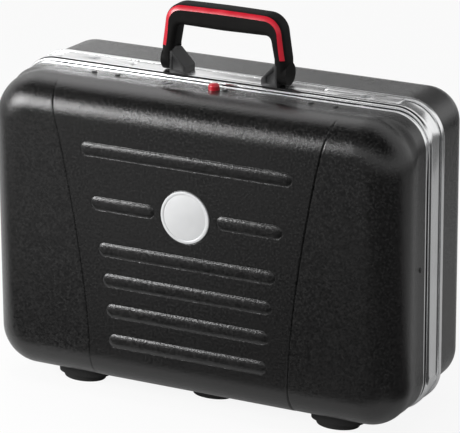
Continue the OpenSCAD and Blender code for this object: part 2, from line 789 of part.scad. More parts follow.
// Outer and inner line of half the handle, from the pivot up and in to the middle
leg_lean = 4.4;
leg_foot = 16;      // from the pin to where the leg starts to lean
bend_r = 21;
crook_r = 6;
bend_n = 7;
bend_x = handle_half - leg_lean - bend_r;
crook_x = bend_x + 1.2;
handle_out = concat(
    [[handle_half, pivot_h], [handle_half - 0.4, pivot_h + leg_foot]],
    arc(bend_x, handle_h - bend_r, bend_r, bend_r, 6, 90, bend_n),
    [[bend_x / 2, handle_h + 0.4], [0, handle_h + 0.6]]);
handle_in = concat(
    [[handle_half - leg_w, pivot_h], [handle_half - leg_w, pivot_h + leg_foot]],
    arc(crook_x, handle_h - grip_h - crook_r, crook_r, crook_r, 12, 90, bend_n),
    [[bend_x / 2, handle_h - grip_h - 0.4], [0, handle_h - grip_h - 0.8]]);

// Corners of the groove for the inlay: a is half the width and b half the depth
inlay_rise = 3.4;
inlay_t = 1.2;
function groove(a, b) = [
    [a - inlay_w - 1.4, -b], [a - inlay_w - 0.6, -b + inlay_t],
    [a - 1.6, -b + inlay_rise + 0.5], [a - 1.4, -b + inlay_rise - 0.9]];

// Section of the handle across its width a and depth b, front groove first
function handle_section(a, b) =
    let (r = min(6, 0.75 * a), half = concat(arc(-a + r, -b + r, r, r, 180, 270, 3), groove(a, b),
                              [[a - 0.4, -b + 4.2], [a, -b + 7]]))
    concat(half, [for (i = [len(half) - 1:-1:0]) [half[i][0], -half[i][1]]]);

// Section of one inlay, a little inside its groove and a little proud of it: -1 in front, 1 behind
inlay_gap = 0.06;
inlay_proud = 0.15;
function inlay_section(a, b, face) =
    let (g = groove(a, b),
         p = [[g[0][0] + inlay_gap, g[0][1] - inlay_proud], [g[1][0] + inlay_gap, g[1][1] - inlay_gap],
              [g[2][0] - inlay_gap, g[2][1] - 2 * inlay_gap],
              [g[3][0] - inlay_gap, g[3][1] - inlay_proud]])
    [for (i = [0:3]) face > 0 ? [p[i][0], -p[i][1]] : p[3 - i]];

// Lays a section across the handle at a station of its right or left half
function handle_ring(i, side, section) =
    let (o = handle_out[i], n = handle_in[i], a = norm(o - n) / 2, u = (o - n) / (2 * a), m = (o + n) / 2)
    [for (p = section) [side * (m[0] + u[0] * p[0]), channel_mid + p[1], frame_top + m[1] + u[1] * p[0]]];
function handle_width(i) = norm(handle_out[i] - handle_in[i]) / 2;

stations = len(handle_out);
module handle() {
    b = handle_d / 2;
    reach = bracket_r + 0.4;
    leg_in = bracket_out + run_gap;
    color(plastic_black) difference() {
        union() {
            loft(concat(
                [for (i = [0:stations - 1]) handle_ring(i, 1, handle_section(handle_width(i), b))],
                [for (i = [stations - 2:-1:0]) handle_ring(i, -1, handle_section(handle_width(i), b))]));
            for (s = [-1, 1]) latch_side(s) translate([leg_in, channel_mid, pivot_z]) rotate([0, 90, 0])
                cylinder(r = b, h = handle_half - leg_in - 0.01, $fn = 72);
        }
        for (s = [-1, 1]) latch_side(s) translate([0, channel_mid, pivot_z]) rotate([0, 90, 0]) {
            translate([0, 0, leg_in - 40]) cylinder(r = reach, h = 40, $fn = 72);
            translate([0, 0, leg_in - 1]) rod(handle_pin_d + 2 * bore_gap, handle_half - 2.5 - leg_in + 1);
        }
    }
}

module handle_inlays() {
    b = handle_d / 2;
    first = 1;
    color(signal_red) for (face = [-1, 1]) {
        right = [for (i = [first:stations - 1])
            handle_ring(i, 1, inlay_section(handle_width(i), b, face))];
        left = [for (i = [stations - 2:-1:first])
            handle_ring(i, -1, inlay_section(handle_width(i), b, face))];
        loft(concat(right, left), crossed = true);
    }
}

// ------------------------------------------------------------------ hinges

hinge_y = lid_plane + 0.2;
hinge_z = foot_h - 2.5;
leaf_t = 1.5;
base_knuckle = hinge_l / 3;
leaf_pad = channel_d;
hinge_rivet_x = 0.3 * hinge_l;
lid_leaf_end = shell_plane + 15;

module hinge_places() {
    for (s = [-1, 1]) translate([s * hinge_x, 0, 0]) children();
}

// A solid along x about the middle of a hinge, from a section in y and z
module along_hinge(from, to) {
    translate([from, 0, 0]) rotate([90, 0, 90]) linear_extrude(to - from) children();
}

module base_hinge_rivet_places() {
    hinge_places() for (s = [-1, 1])
        translate([s * hinge_rivet_x, channel_mid, foot_h - leaf_t]) children();
}

module lid_hinge_rivet_places() {
    hinge_places() for (s = [-1, 1])
        translate([s * hinge_rivet_x, -lid_rivet_y, foot_h + shell_inset - leaf_t]) children();
}

// Leaf under the base frame: a pad in the channel, and the middle knuckle
module base_hinge_leaves() {
    half = hinge_l / 2;
    pad_half = lever_half_d;
    front = -hinge_y + knuckle_d / 2 + run_gap;
    back = channel_back + 3;
    color(steel_grey) difference() {
        hinge_places() difference() {
            union() {
                along_hinge(-half, half) polygon([
                    [front, foot_h - leaf_t], [back, foot_h - leaf_t], [back, foot_h], [front, foot_h]]);
                translate([-half, channel_mid - pad_half, foot_h - 0.1])
                    cube([hinge_l, 2 * pad_half, leaf_pad + 0.1]);
                along_hinge(-base_knuckle / 2, base_knuckle / 2) {
                    polygon([[-hinge_y, hinge_z], [-hinge_y + knuckle_d, foot_h - leaf_t],
                             [-hinge_y + knuckle_d, foot_h], [-hinge_y, foot_h]]);
                    translate([-hinge_y, hinge_z]) circle(d = knuckle_d);
                }
            }
            along_hinge(-half - 1, half + 1) translate([-hinge_y, hinge_z])
                circle(d = hinge_pin_d + 2 * seat_gap);
        }
        base_hinge_rivet_places() translate([0, 0, -1])
            rod(rivet_d + 2 * hole_gap, leaf_t + leaf_pad + 2);
    }
}

// Leaf under the lid: a plate on the shell, and the two outer knuckles
module lid_hinge_leaves() {
    half = hinge_l / 2;
    shell_z = foot_h + shell_inset;
    inner = base_knuckle / 2 + run_gap;
    edge = -hinge_y - knuckle_d / 2;
    color(steel_grey) difference() {
        hinge_places() difference() {
            union() {
                along_hinge(-half, half) polygon([
                    [edge - run_gap, shell_z], [edge - run_gap, shell_z - leaf_t],
                    [-lid_leaf_end, shell_z - leaf_t], [-lid_leaf_end, shell_z]]);
                for (s = [-1, 1]) mirror([s < 0 ? 1 : 0, 0, 0]) along_hinge(inner, half) {
                    polygon([[-hinge_y, hinge_z - 1.5], [-hinge_y, hinge_z + knuckle_d / 2],
                             [edge, shell_z - 0.4], [edge - 3, shell_z], [edge - 3, shell_z - leaf_t]]);
                    translate([-hinge_y, hinge_z]) circle(d = knuckle_d);
                }
            }
            along_hinge(-half - 1, half + 1) translate([-hinge_y, hinge_z])
                circle(d = hinge_pin_d + 2 * bore_gap);
        }
        lid_hinge_rivet_places() translate([0, 0, -1]) rod(rivet_d + 2 * hole_gap, leaf_t + 2);
    }
}

module hinge_pins() {
    color(steel_grey) hinge_places()
        translate([-hinge_l / 2, -hinge_y, hinge_z]) rotate([0, 90, 0]) rod(hinge_pin_d, hinge_l);
}

module base_hinge_rivets() {
    color(steel_grey) base_hinge_rivet_places()
        rivet(rivet_d, rivet_head_d, 0, leaf_t + skin_t);
}

module lid_hinge_rivets() {
    color(steel_grey) lid_hinge_rivet_places()
        rivet(rivet_d, rivet_head_d, 0, leaf_t + flange_in - shell_inset);
}

// ------------------------------------------------------------------ feet

foot_screw_d = 4;
foot_head_d = 8;
foot_head_t = 2.2;
tread_h = 6;
foot_hole = 1.6;    // depth of rubber left under the screw's head, drawn from the tread
foot_cap = foot_h + base_foot_in + wall_t;
mid_foot_d = 29;
mid_foot_y = shell_plane + face_gap + mid_foot_d / 2 + 0.3;
mid_foot_place = [0, -mid_foot_y, mid_foot_up];

// Oval rubber foot: a flange on the shell, and a smaller tread with a bevelled edge
module foot(l, d, top) {
    step_l = l / 10;
    step_d = d / 19;
    lead = 1.2;
    oval(l, d, tread_h, top);
    oval(l - step_l, d - step_d, tread_h - lead, tread_h);
    oval(l - 2 * step_l, d - 2 * step_d, lead, tread_h);
    oval(l - 2 * step_l - lead, d - 2 * step_d - lead, 0.4, lead);
    oval(l - 2 * step_l - 2 * lead, d - 2 * step_d - 2 * lead, 0, 0.4);
}

// Upright oval slab between two heights
module oval(l, d, z0, z1) {
    translate([0, 0, z0]) linear_extrude(z1 - z0) polygon(arc(0, 0, l / 2, d / 2, 0, 352.5, 47));
}

module lid_foot_places() {
    for (s = [-1, 1]) translate([s * foot_x, -foot_y, 0]) children();
    translate(mid_foot_place) children();
}

module base_foot_places() {
    for (s = [-1, 1]) translate([s * foot_x, foot_y, 0]) children();
}

// Counterbored hole for the foot's screw
module foot_hole_cut() {
    translate([0, 0, -1]) rod(foot_head_d + 1, foot_hole + foot_head_t + 1);
    rod(foot_screw_d + 2 * hole_gap, foot_cap + 1);
}

module lid_feet() {
    color(rubber_black) difference() {
        union() {
            for (s = [-1, 1]) translate([s * foot_x, -foot_y, 0]) foot(foot_l, foot_d, foot_cap);
            translate(mid_foot_place) foot(mid_foot_l, mid_foot_d, foot_cap);
        }
        lid_foot_places() foot_hole_cut();
        stand() side_run(3) polygon(concat(
            [[corner_r - shell_inset, shell_plane]], lid_skin(0), [[0, shell_plane]]));
    }
}

module base_feet() {
    color(rubber_black) difference() {
        base_foot_places() foot(foot_l, foot_d, foot_cap);
        base_foot_places() foot_hole_cut();
        mirror([0, 1, 0]) stand() side_run(3, base_inset) polygon(concat(base_skin(0), [[0, base_rim]]));
    }
}

// Screw of a foot. The place's own z is the floor under its tread.
module foot_screw(to) {
    color(steel_grey) translate([0, 0, foot_hole]) difference() {
        union() {
            rod(foot_head_d, foot_head_t);
            translate([0, 0, foot_head_t]) rod(foot_screw_d, to - foot_hole - foot_head_t);
        }
        translate([0, 0, -1]) cylinder(d = 3.6, h = 2.4, $fn = 6);
    }
}

module lid_foot_screws() {
    lid_foot_places() foot_screw(foot_h + shell_in + 3);
}

module base_foot_screws() {
    base_foot_places() foot_screw(foot_h + base_foot_in + base_draft + wall_t + 2);
}

// ------------------------------------------------------------------ release button

button_y = lid_rivet_y + 1.5;
button_rise = button_travel + 2.1;
button_flange_t = 1.2;
button_stem = 2.6;
housing_d = button_d + 6;
button_rivet_gap = housing_d / 2 + 3;
housing_bore = button_d + 3;
housing_floor = 1.4;
spring_wire = 0.9;
spring_solid = 3.2;     // height left for the spring when the button is down
housing_l = run_gap + button_stem + button_travel + spring_solid + housing_floor;

// Carries a piece to the button: z points down from the outside of the frame
module button_place() {
    at_side(1, -button_x, button_y) children();
}

module release_button() {
    r = button_d / 2;
    top = shell_inset - button_rise;
    flange = flange_in + run_gap;
    color(signal_red) button_place() rotate_extrude() polygon(concat(
        arc(0, top + 3, r, 3, -90, 0, 6),
        [[r, flange], [housing_bore / 2 - 0.4, flange], [housing_bore / 2 - 0.4, flange + button_flange_t],
         [r - 2.5, flange + button_flange_t], [r - 2.5, flange + button_stem], [0, flange + button_stem]]));
}

// Cup under the lid frame's sleeve that guides the button and holds its spring
module button_housing() {
    color(bracket_grey) difference() {
        union() {
            button_place() translate([0, 0, flange_in]) {
                cylinder(d = housing_d, h = housing_l);
                cylinder(d = housing_d + 5, h = housing_flange_t);
            }
            at_side(1, -(button_x + button_rivet_gap), lid_rivet_y) translate([0, 0, flange_in])
                cylinder(d = rivet_head_d + 3, h = housing_flange_t);
        }
        button_place() translate([0, 0, flange_in - 1])
            cylinder(d = housing_bore, h = housing_l + 1 - housing_floor);
        lid_rivet_places() rod(rivet_d + 2 * hole_gap, 20);
    }
}

// Coil spring between the button and the floor of its housing
spring_r = housing_bore / 2 - spring_wire - 0.4;
spring_top = flange_in + run_gap + button_flange_t + 0.15;
spring_low = flange_in + housing_l - housing_floor - 0.15;
spring_turns = 4;
spring_steps = 16;
spring_sides = 6;
spring_run = spring_low - spring_top - spring_wire;
spring_points = [for (i = [0:spring_turns * spring_steps])
    [spring_r * cos(360 * i / spring_steps), spring_r * sin(360 * i / spring_steps),
     spring_top + spring_wire / 2 + spring_run * i / (spring_turns * spring_steps)]];
function wire_ring(i) =
    let (a = 360 * i / spring_steps, c = spring_points[i])
    [for (k = [0:spring_sides - 1])
        let (b = -360 * k / spring_sides)
        c + spring_wire / 2 * [cos(a) * cos(b), sin(a) * cos(b), sin(b)]];

module button_spring() {
    color(steel_grey) button_place() loft([for (i = [0:len(spring_points) - 1]) wire_ring(i)]);
}

// ------------------------------------------------------------------ assembly

base_shell();
base_frame();
cover_plate();
handle_bracket(-1);  // handle_bracket_left
handle_bracket(1);  // handle_bracket_right
handle_pins();
bracket_screws();
base_hinge_leaves();
hinge_pins();
base_hinge_rivets();
base_feet();
base_foot_screws();
base_shell_rivets();
latch_pin(-1);  // latch_pin_left
latch_pin(1);  // latch_pin_right
lid_shell();
lid_frame();
lid_seal();
badge();
lid_rivets();
lid_keeper(-1);  // lid_keeper_left
lid_keeper(1);  // lid_keeper_right
keeper_rivets();
lid_hinge_leaves();
lid_hinge_rivets();
lid_feet();
lid_foot_screws();
button_housing();
button_spring();
release_button();
latch_lever(-1);  // latch_lever_left
latch_lever(1);  // latch_lever_right
latch_hook(-1);  // latch_hook_left
latch_hook(1);  // latch_hook_right
lock_housing(-1);  // lock_housing_left
lock_housing(1);  // lock_housing_right
lock_cylinder(-1);  // lock_cylinder_left
lock_cylinder(1);  // lock_cylinder_right
handle();
handle_inlays();
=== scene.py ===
import math

import bmesh
import bpy
import numpy as np
from mathutils import Matrix, Vector
from mathutils.geometry import delaunay_2d_cdt


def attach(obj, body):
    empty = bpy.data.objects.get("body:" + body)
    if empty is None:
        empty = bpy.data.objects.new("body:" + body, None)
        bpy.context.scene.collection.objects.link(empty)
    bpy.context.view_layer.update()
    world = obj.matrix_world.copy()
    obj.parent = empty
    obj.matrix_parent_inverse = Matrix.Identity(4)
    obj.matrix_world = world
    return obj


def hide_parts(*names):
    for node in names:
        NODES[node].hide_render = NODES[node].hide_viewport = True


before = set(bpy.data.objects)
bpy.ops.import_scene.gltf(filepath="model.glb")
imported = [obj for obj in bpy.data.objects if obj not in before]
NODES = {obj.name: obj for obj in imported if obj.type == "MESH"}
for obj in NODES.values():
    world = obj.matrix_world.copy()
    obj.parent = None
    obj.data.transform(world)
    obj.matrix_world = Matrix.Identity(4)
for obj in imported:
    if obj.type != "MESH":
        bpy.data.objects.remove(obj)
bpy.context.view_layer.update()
MM = 0.001
SIDES = (("left", -1), ("right", 1))

# ---------------------------------------------------------------- measures of the case, in millimetres
CASE_W, CASE_H, CORNER_R, FOOT_H = 480.0, 330.0, 40.0, 15.0
FRAME_TOP = FOOT_H + CASE_H
FRAME_MID = FOOT_H + CASE_H / 2
R = CORNER_R
HALF_DEPTH = 94.4   # from the frame's middle plane to the face of either shell
# Rectangles of corner centres: half width, top and bottom about the frame's middle
FRAME_CORE = (CASE_W / 2 - CORNER_R, CASE_H / 2 - CORNER_R, CORNER_R - CASE_H / 2)
BASE_CORE = (FRAME_CORE[0] - 4, FRAME_CORE[1] + 2, FRAME_CORE[2] + 3)

# Distances forward from the middle plane, or backward where the name says back
FRAME_BACK, FRAME_FRONT = 18.8, 16.0
CHANNEL_FRONT, CHANNEL_BACK, CHANNEL_D = 11.0, 12.0, 2.0
CHANNEL_MID = (CHANNEL_BACK - CHANNEL_FRONT) / 2
CHANNEL_LIP = 7.5   # the channel's front edge as drawn here, behind the one of the solid
LID_PLANE, SHELL_PLANE = 19.8, 22.8
LEVEL = FRAME_TOP - CHANNEL_D

# Distances inward from the frame's outside
SKIN_T, FLANGE_OUT, FLANGE_IN = 4.0, 6.3, 7.8
LIP_REACH = 3.3     # how far the sunk lip reaches back toward the step
STEP_D = 1.8        # how far the polished step falls away in front of the channel
LID_INSET = 2.0
LID_SINK = 2.5      # how much more the lid's top lies under the frame's
SINK_RUN = 20.0     # height over which the sides go down to that

# Relief of the shells
PANEL_RISE, PANEL_LOW_HALF, PANEL_TOP_HALF = 0.9, 116.5, 155.0
PANEL_TOP_DROP, PANEL_LOW_DROP = 30.0, 290.0
RIB_W, RIB_EDGE, RIB_RISE, RIB_END = 12.5, 0.7, 1.6, 25.0
RIB_ROWS = (68, 176, 209.5, 243, 276.5)
BADGE_DROP, BADGE_SEAT_R, BADGE_SEAT_D, BADGE_GAP_X, BADGE_N = 126, 28.35, 1.0, 37.5, 64
PANEL_EDGE = 1.1                # width of the step up to the panel
PANEL_FADE = (0.25, 0.6)        # the panel starts where the skin faces forward by the first, over the second
# Moats beside the relief: distance from its edge, depth, width
CREASE, RIB_MOAT, BADGE_MOAT = (0.75, 0.85, 0.6), (1.15, 0.25, 0.5), (0.55, 0.3, 0.5)
WALL = 3.5
LID_ROUNDING = (12.0, 4.0)      # how much rounder than its rim the lid's corners are, top and bottom
ROUNDING_SPAN, ROUNDING_FROM, ROUNDING_RUN = 35.0, 41, 13

# Fasteners and plates
PLATE_T, PLATE_END, PLATE_GAP = 1.8, 110.0, 0.5
LOCK_X, LOCK_HOLE_R, LEVER_PIN_X, LEVER_PIN_R = 159.0, 6.1, 196.2, 1.06
HOOK_X = 127.0
RIVET_Y, RIVET_HEAD_R, RIVET_SHANK_R = 32.3, 3.2, 1.8


def arc(cx, cy, rx, ry, a0, a1, n):
    """n + 1 points on an ellipse between two angles in degrees."""
    return [(cx + rx * math.cos(math.radians(a0 + (a1 - a0) * i / n)),
             cy + ry * math.sin(math.radians(a0 + (a1 - a0) * i / n))) for i in range(n + 1)]


def ease(t):
    """A smooth step from 0 to 1 while t goes from 0 to 1."""
    t = np.clip(t, 0.0, 1.0)
    return t * t * (3 - 2 * t)


# ---------------------------------------------------------------- materials
SOCKETS = {"metal": "Metallic", "spec": "Specular IOR Level", "ior": "IOR",
           "coat": "Coat Weight", "coat_rough": "Coat Roughness"}


class Mat:
    """A node material under construction, with short helpers."""

    def __init__(self, name):
        self.m = bpy.data.materials.new(name)
        self.m.use_nodes = True
        self.t = self.m.node_tree
        self.b = self.t.nodes["Principled BSDF"]
        self.co = self.node("ShaderNodeTexCoord").outputs["Object"]

    def node(self, kind, **values):
        n = self.t.nodes.new(kind)
        for k, v in values.items():
            setattr(n, k, v)
        return n

    def link(self, a, b):
        self.t.links.new(a, b)

    def set(self, **values):
        """Sets fixed values of the shader."""
        for key, value in values.items():
            self.b.inputs[SOCKETS[key]].default_value = value
        return self

    def scaled(self, sx, sy, sz):
        n = self.node("ShaderNodeMapping")
        n.inputs["Scale"].default_value = (sx, sy, sz)
        self.link(self.co, n.inputs["Vector"])
        return n.outputs["Vector"]

    def noise(self, scale, detail=2.0, vector=None, rough=0.5):
        n = self.node("ShaderNodeTexNoise")
        n.inputs["Scale"].default_value = scale
        n.inputs["Detail"].default_value = detail
        n.inputs["Roughness"].default_value = rough
        self.link(vector or self.co, n.inputs["Vector"])
        return n.outputs["Fac"]

    def cells(self, scale, smooth=0.3):
        n = self.node("ShaderNodeTexVoronoi", feature="SMOOTH_F1")
        n.inputs["Scale"].default_value = scale
        n.inputs["Smoothness"].default_value = smooth
        self.link(self.co, n.inputs["Vector"])
        return n.outputs["Distance"]

    def span(self, value, f0, f1, t0, t1):
        n = self.node("ShaderNodeMapRange")
        for i, v in zip(("From Min", "From Max", "To Min", "To Max"), (f0, f1, t0, t1)):
            n.inputs[i].default_value = v
        self.link(value, n.inputs["Value"])
        return n.outputs["Result"]

    def calc(self, a, b, op="ADD"):
        n = self.node("ShaderNodeMath", operation=op)
        for i, v in enumerate((a, b)):
            if isinstance(v, (int, float)):
                n.inputs[i].default_value = v
            else:
                self.link(v, n.inputs[i])
        return n.outputs[0]

    def weighted(self, a, share, b):
        return self.calc(self.calc(a, share, "MULTIPLY"), self.calc(b, 1 - share, "MULTIPLY"))

    def mix(self, fac, a, b):
        n = self.node("ShaderNodeMix", data_type="RGBA")
        self.link(fac, n.inputs[0])
        for i, v in ((6, a), (7, b)):
            if isinstance(v, tuple):
                n.inputs[i].default_value = (*v, 1.0)
            else:
                self.link(v, n.inputs[i])
        return n.outputs[2]

    def color(self, value):
        self.link(value, self.b.inputs["Base Color"])

    def rough(self, value):
        self.link(value, self.b.inputs["Roughness"])

    def bump(self, height, distance, strength=1.0):
        n = self.node("ShaderNodeBump")
        n.inputs["Strength"].default_value = strength
        n.inputs["Distance"].default_value = distance
        self.link(height, n.inputs["Height"])
        self.link(n.outputs["Normal"], self.b.inputs["Normal"])


def make_shell_black():
    """Black moulded plastic: pebble grain in two sizes, with tone and gloss that change along with it."""
    m = Mat("shell_black_grain").set(spec=0.5)
    fine, coarse, fade = m.cells(1050, smooth=0.15), m.noise(420, 2.0), m.noise(9, 3.0)
    m.bump(m.calc(m.calc(fine, 0.6, "MULTIPLY"), coarse), 0.00024, 0.9)
    low, high, worn = (0.0030, 0.0030, 0.0031), (0.0165, 0.0163, 0.0161), (0.0110, 0.0108, 0.0106)
    tone = m.mix(m.span(coarse, 0.35, 0.65, 0.0, 1.0), low, high)
    m.color(m.mix(m.span(fade, 0.3, 0.7, 0.0, 0.5), tone, worn))
    m.rough(m.span(m.weighted(coarse, 0.7, fade), 0.35, 0.65, 0.19, 0.27))
    return m.m


def make_aluminium(name, along, rough0, rough1, bump, tone=(0.86, 0.865, 0.87)):
    """Aluminium with fine lines from the die, close together in the direction of along's large number."""
    m = Mat(name).set(metal=1.0)
    lines = m.noise(1.0, 3.0, m.scaled(*along), 0.6)
    smear = m.noise(26, 4.0)
    m.bump(lines, 0.00004, bump)
    dark = tuple(c * 0.9 for c in tone)
    m.color(m.mix(m.span(m.calc(lines, smear, "MULTIPLY"), 0.15, 0.4, 0.0, 1.0), dark, tone))
    m.rough(m.span(m.weighted(lines, 0.5, smear), 0.35, 0.65, rough0, rough1))
    return m.m


def make_steel():
    """Zinc-plated steel with a faint spangle."""
    m = Mat("zinc_steel").set(metal=1.0)
    spangle = m.cells(420, smooth=0.1)
    haze = m.noise(60, 4.0)
    m.bump(haze, 0.00005, 0.3)
    m.color(m.mix(m.span(spangle, 0.2, 0.9, 0.0, 1.0), (0.50, 0.51, 0.53), (0.62, 0.625, 0.63)))
    m.rough(m.span(haze, 0.3, 0.7, 0.24, 0.42))
    return m.m


def make_plastic(name, low, high, rough0, rough1, bump, spec=0.45, grain=1500, ior=1.5):
    """Dark plastic or rubber between two tones, with a fine grain."""
    m = Mat(name).set(spec=spec, ior=ior)
    fine = m.cells(grain)
    haze = m.noise(45, 3.0)
    m.bump(m.calc(fine, m.noise(grain * 0.5, 2.0)), 0.00010, bump)
    m.color(m.mix(m.span(haze, 0.3, 0.7, 0.0, 1.0), low, high))
    m.rough(m.span(haze, 0.3, 0.7, rough0, rough1))
    return m.m


def make_red(name, coat):
    """Red plastic under a clear gloss of the given weight."""
    m = Mat(name).set(spec=0.5, coat=coat, coat_rough=0.12)
    haze = m.noise(70, 3.0)
    m.bump(m.noise(900, 2.0), 0.00004, 0.25)
    m.color(m.mix(m.span(haze, 0.3, 0.7, 0.0, 1.0), (0.50, 0.004, 0.018), (0.60, 0.007, 0.026)))
    m.rough(m.span(haze, 0.3, 0.7, 0.28, 0.38))
    return m.m


def make_badge():
    """Pale satin plastic with a silver sheen."""
    m = Mat("badge_silver").set(metal=0.2, spec=0.35)
    satin = m.noise(700, 3.0)
    haze = m.noise(30, 3.0)
    m.bump(satin, 0.00005, 0.25)
    m.color(m.mix(m.span(haze, 0.3, 0.7, 0.0, 1.0), (0.60, 0.605, 0.61), (0.67, 0.675, 0.68)))
    m.rough(m.span(satin, 0.3, 0.7, 0.34, 0.46))
    return m.m


SHELL = make_shell_black()
ALU = make_aluminium("aluminium_extruded", (2, 900, 2), 0.14, 0.22, 0.08)
PLATE = make_aluminium("aluminium_plate", (3, 700, 3), 0.20, 0.30, 0.15, (0.83, 0.83, 0.835))
STEEL = make_steel()
DARK_TONES = (0.008, 0.008, 0.008), (0.014, 0.014, 0.014)
GRIP = make_plastic("handle_satin_black", (0.006, 0.006, 0.0062), (0.011, 0.0105, 0.010),
                    0.50, 0.60, 0.35, spec=0.3, ior=1.2)
BRACKET = make_plastic("bracket_matt_black", (0.008, 0.008, 0.0085), (0.014, 0.014, 0.0145), 0.40, 0.5, 0.5)
RUBBER = make_plastic("rubber_black", *DARK_TONES, 0.6, 0.75, 0.5, spec=0.3, grain=900)
RIVET = make_plastic("rivet_lacquer", *DARK_TONES, 0.3, 0.4, 0.2)
RED = make_red("inlay_red", 0.1)
RED_GLOSS = make_red("button_red", 0.7)
BADGE = make_badge()


# ---------------------------------------------------------------- mesh helpers
# Edges sharper than this, in degrees, stay hard: moulded shells, small parts, swept metal
SHELL_SHARP, SHARP, METAL_SHARP = 32.0, 40.0, 50.0
BEVEL_LIMIT = 28


def piece(name, verts, faces, mat, body, replaces, sharp=SHARP, weld=None):
    """A mesh object from points in millimetres, smooth but for edges sharper than the angle."""
    bm = bmesh.new()
    made = [bm.verts.new((v[0] * MM, v[1] * MM, v[2] * MM)) for v in verts]
    for f in faces:
        if len(set(f)) > 2:
            try:
                bm.faces.new([made[i] for i in f])
            except ValueError:
                pass
    if weld:
        bmesh.ops.remove_doubles(bm, verts=bm.verts, dist=weld * MM)
    bmesh.ops.recalc_face_normals(bm, faces=bm.faces)
    mesh = bpy.data.meshes.new(name)
    finish_mesh(bm, mesh, sharp)
    o = bpy.data.objects.new(name, mesh)
    bpy.context.scene.collection.objects.link(o)
    mesh.materials.append(mat)
    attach(o, body)
    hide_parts(*replaces)
    return o


def finish_mesh(bm, mesh, sharp):
    """Shades smooth, with hard edges above the angle, and writes the mesh."""
    limit = math.radians(sharp)
    for f in bm.faces:
        f.smooth = True
    for e in bm.edges:
        e.smooth = not (len(e.link_faces) == 2 and e.calc_face_angle(0) > limit)
    bm.to_mesh(mesh)
    bm.free()
    mesh.update()


def loose(name, verts, faces):
    """A closed mesh, given in millimetres, that belongs to no piece yet."""
    bm = bmesh.new()
    made = [bm.verts.new((v[0] * MM, v[1] * MM, v[2] * MM)) for v in verts]
    for f in faces:
        bm.faces.new([made[k] for k in f])
    bmesh.ops.recalc_face_normals(bm, faces=bm.faces)
    mesh = bpy.data.meshes.new(name)
    bm.to_mesh(mesh)
    bm.free()
    o = bpy.data.objects.new(name, mesh)
    bpy.context.scene.collection.objects.link(o)
    return o


def discard(o):
    mesh = o.data
    bpy.data.objects.remove(o)
    bpy.data.meshes.remove(mesh)


def boolean(o, tools, operation, sharp=SHARP, also=None):
    """Joins closed meshes to a piece, takes them out of it, or keeps what lies in them or in also."""
    for verts, faces in tools:
        c = loose("tool", verts, faces)
        if also:
            extra = loose("tool_more", *also)
            mod = c.modifiers.new("join", "BOOLEAN")
            mod.object, mod.operation, mod.solver = extra, "UNION", "EXACT"
            apply_modifiers(c)
            discard(extra)
        mod = o.modifiers.new("shape", "BOOLEAN")
        mod.object, mod.solver = c, "EXACT"
        mod.operation = "INTERSECT" if operation == "KEEP" else operation
        apply_modifiers(o)
        discard(c)
    refine(o, sharp)


def refine(o, sharp):
    """Cleans a piece after a boolean or a bevel."""
    bm = bmesh.new()
    bm.from_mesh(o.data)
    bmesh.ops.remove_doubles(bm, verts=bm.verts, dist=0.00001)
    finish_mesh(bm, o.data, sharp)


def soften(o, width):
    """Rounds the edges of a piece that turn by more than the limit."""
    mod = o.modifiers.new("bevel", "BEVEL")
    mod.width, mod.segments, mod.limit_method = width * MM, 3, "ANGLE"
    mod.angle_limit = math.radians(BEVEL_LIMIT)
    mod.use_clamp_overlap = True
    apply_modifiers(o)
    refine(o, SHARP)


def apply_modifiers(o):
    """Replaces a piece's mesh by the one its modifiers give."""
    dg = bpy.context.evaluated_depsgraph_get()
    new = bpy.data.meshes.new_from_object(o.evaluated_get(dg))
    old = o.data
    o.modifiers.clear()
    o.data = new
    new.name = old.name
    bpy.data.meshes.remove(old)


def block(x0, x1, y0, y1, z0, z1):
    """A closed box."""
    v = [(x, y, z) for z in (z0, z1) for y in (y0, y1) for x in (x0, x1)]
    return v, [(0, 1, 3, 2), (4, 6, 7, 5), (0, 4, 5, 1), (1, 5, 7, 3), (3, 7, 6, 2), (2, 6, 4, 0)]


def rod(axis, cx, cy, cz, r, a, b, n=32):
    """A closed rod along an axis from a to b, about the other two coordinates."""
    v = []
    for s in (a, b):
        for i in range(n):
            c, d = r * math.cos(2 * math.pi * i / n), r * math.sin(2 * math.pi * i / n)
            v.append({"x": (s, cy + c, cz + d), "y": (cx + c, s, cz + d), "z": (cx + c, cy + d, s)}[axis])
    f = [tuple(range(n)), tuple(range(2 * n - 1, n - 1, -1))]
    f += [(i, (i + 1) % n, n + (i + 1) % n, n + i) for i in range(n)]
    return v, f


def rounded(points, radii, n=3):
    """A closed outline with each corner rounded by its own radius."""
    out = []
    count = len(points)
    for i, p in enumerate(points):
        r = radii[i] if isinstance(radii, (list, tuple)) else radii
        a, b = Vector(points[i - 1]), Vector(points[(i + 1) % count])
        p = Vector(p)
        u, v = (a - p), (b - p)
        lu, lv = u.length, v.length
        if r <= 0 or lu < 1e-6 or lv < 1e-6:
            out.append(tuple(p))
            continue
        u, v = u / lu, v / lv
        half = math.acos(max(-1, min(1, u.dot(v)))) / 2
        if half > math.radians(86):
            out.append(tuple(p))
            continue
        t = min(r / math.tan(half), lu * 0.48, lv * 0.48)
        q0, q1 = p + u * t, p + v * t
        for k in range(n + 1):
            s = k / n
            out.append(tuple((1 - s) ** 2 * q0 + 2 * s * (1 - s) * p + s * s * q1))
    return out


